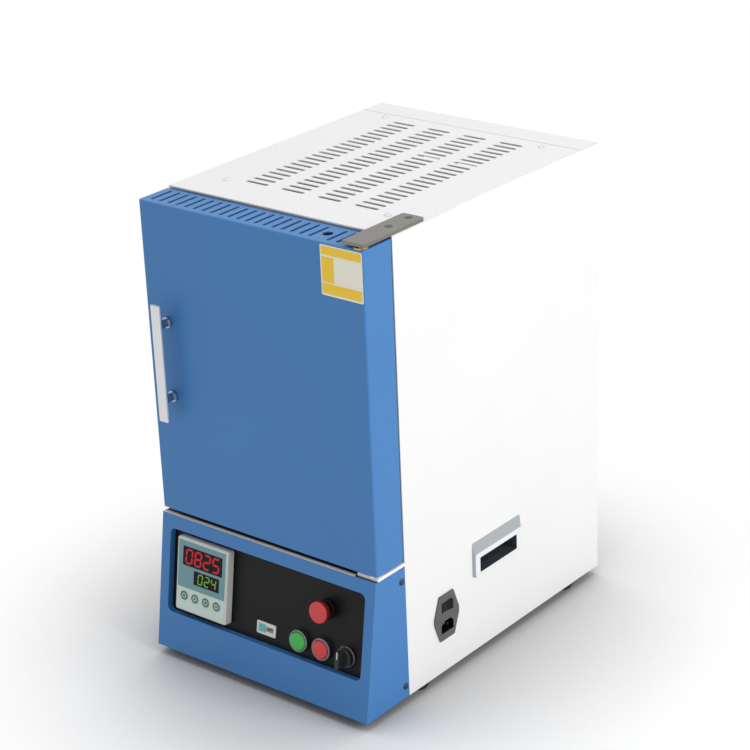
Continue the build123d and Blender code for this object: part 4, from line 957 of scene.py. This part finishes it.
def cutSheet(name, outlines, origin, thickness, finish, body):
    # a level sheet with holes: the first outline is its edge, and the rest are cut out of it
    curve = bpy.data.curves.new(name, "CURVE")
    curve.dimensions = "2D"
    curve.fill_mode = "BOTH"
    curve.extrude = thickness / 2 * mm
    for outline in outlines:
        spline = curve.splines.new("POLY")
        spline.points.add(len(outline) - 1)
        for point, (a, b) in zip(spline.points, outline):
            point.co = (a * mm, b * mm, 0, 1)
        spline.use_cyclic_u = True
    curve.materials.append(finishes[finish])
    piece = bpy.data.objects.new(name, curve)
    piece.location = origin
    return placed(piece, body)


coverOutlines = [rectangle(coverWide, coverDeep)]
for column in range(slots["columns"]):
    for row in range(slots["rows"]):
        across = (column - (slots["columns"] - 1) / 2) * slots["columnPitch"]
        along = (row - (slots["rows"] - 1) / 2) * slots["rowPitch"]
        outline = slotOutline(slots["length"], slots["width"])
        coverOutlines.append([(across + a, along + b) for a, b in outline])
coverMiddle = (0, (coverLow.y + coverHigh.y) / 2, coverHigh.z - slots["sheet"] / 2 * mm)
coverSheet = cutSheet("slotted_cover", coverOutlines, coverMiddle, slots["sheet"], "coverPowder", "furnace")
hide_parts("top_cover")
print("cover cut with", len(coverOutlines) - 1, "slots")


# Raised bezel round each carrying grip, sloped along its top, with painted shade on the slope and darker
# painted shade in the throat

bezel = {"proud": 3.6, "throat": 11.0}
outerEdge = roundedRectangle(101, 47, 3)
faceEdge = roundedRectangle(96, 31, 3, (0, -7.4))
slotEdge = roundedRectangle(77, 20, 1, (0, -9))
gripMiddle = boxCentre("grip_cups")
for word, side in (("left", -1), ("right", 1)):
    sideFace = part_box(f"side_panel_{word}")[1 if side > 0 else 0].x
    foot = Vector((sideFace, gripMiddle.y, gripMiddle.z))
    front = foot + Vector((side * bezel["proud"] * mm, 0, 0))
    plane = (Vector((0, side, 0)), Vector((0, 0, 1)))
    for part, lower, upper, rise, spot, finish in (
            ("slope", outerEdge, faceEdge, bezel["proud"], foot, "gripSlopePaintedShade"),
            ("face", faceEdge, slotEdge, 0, front, "gripFace"),
            ("throat", slotEdge, slotEdge, -bezel["throat"], front, "gripHolePaintedShade")):
        bandPiece(f"{word}_grip_{part}", lower, upper, rise, spot, plane, finish, "furnace")
print("grip bezels made")


# Handle bar, thinner than the CAD block and rounded along its edges

bar = {"trim": 3.0, "round": 1.2}
barLow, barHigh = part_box("handle_bar")
barWide, barDeep = (barHigh.x - barLow.x) / mm, (barHigh.y - barLow.y) / mm - bar["trim"]
barSpot = ((barLow.x + barHigh.x) / 2, barHigh.y - barDeep / 2 * mm, barLow.z)
barPiece = prism("rounded_bar", roundedRectangle(barWide, barDeep, bar["round"]), barSpot, levelPlane,
                 (barHigh.z - barLow.z) / mm, "handleAlloy", "door")
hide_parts("handle_bar")
print("handle bar rounded")

size = {"cad": [list(c) for c in cadBox], "shown": [list(c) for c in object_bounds()]}
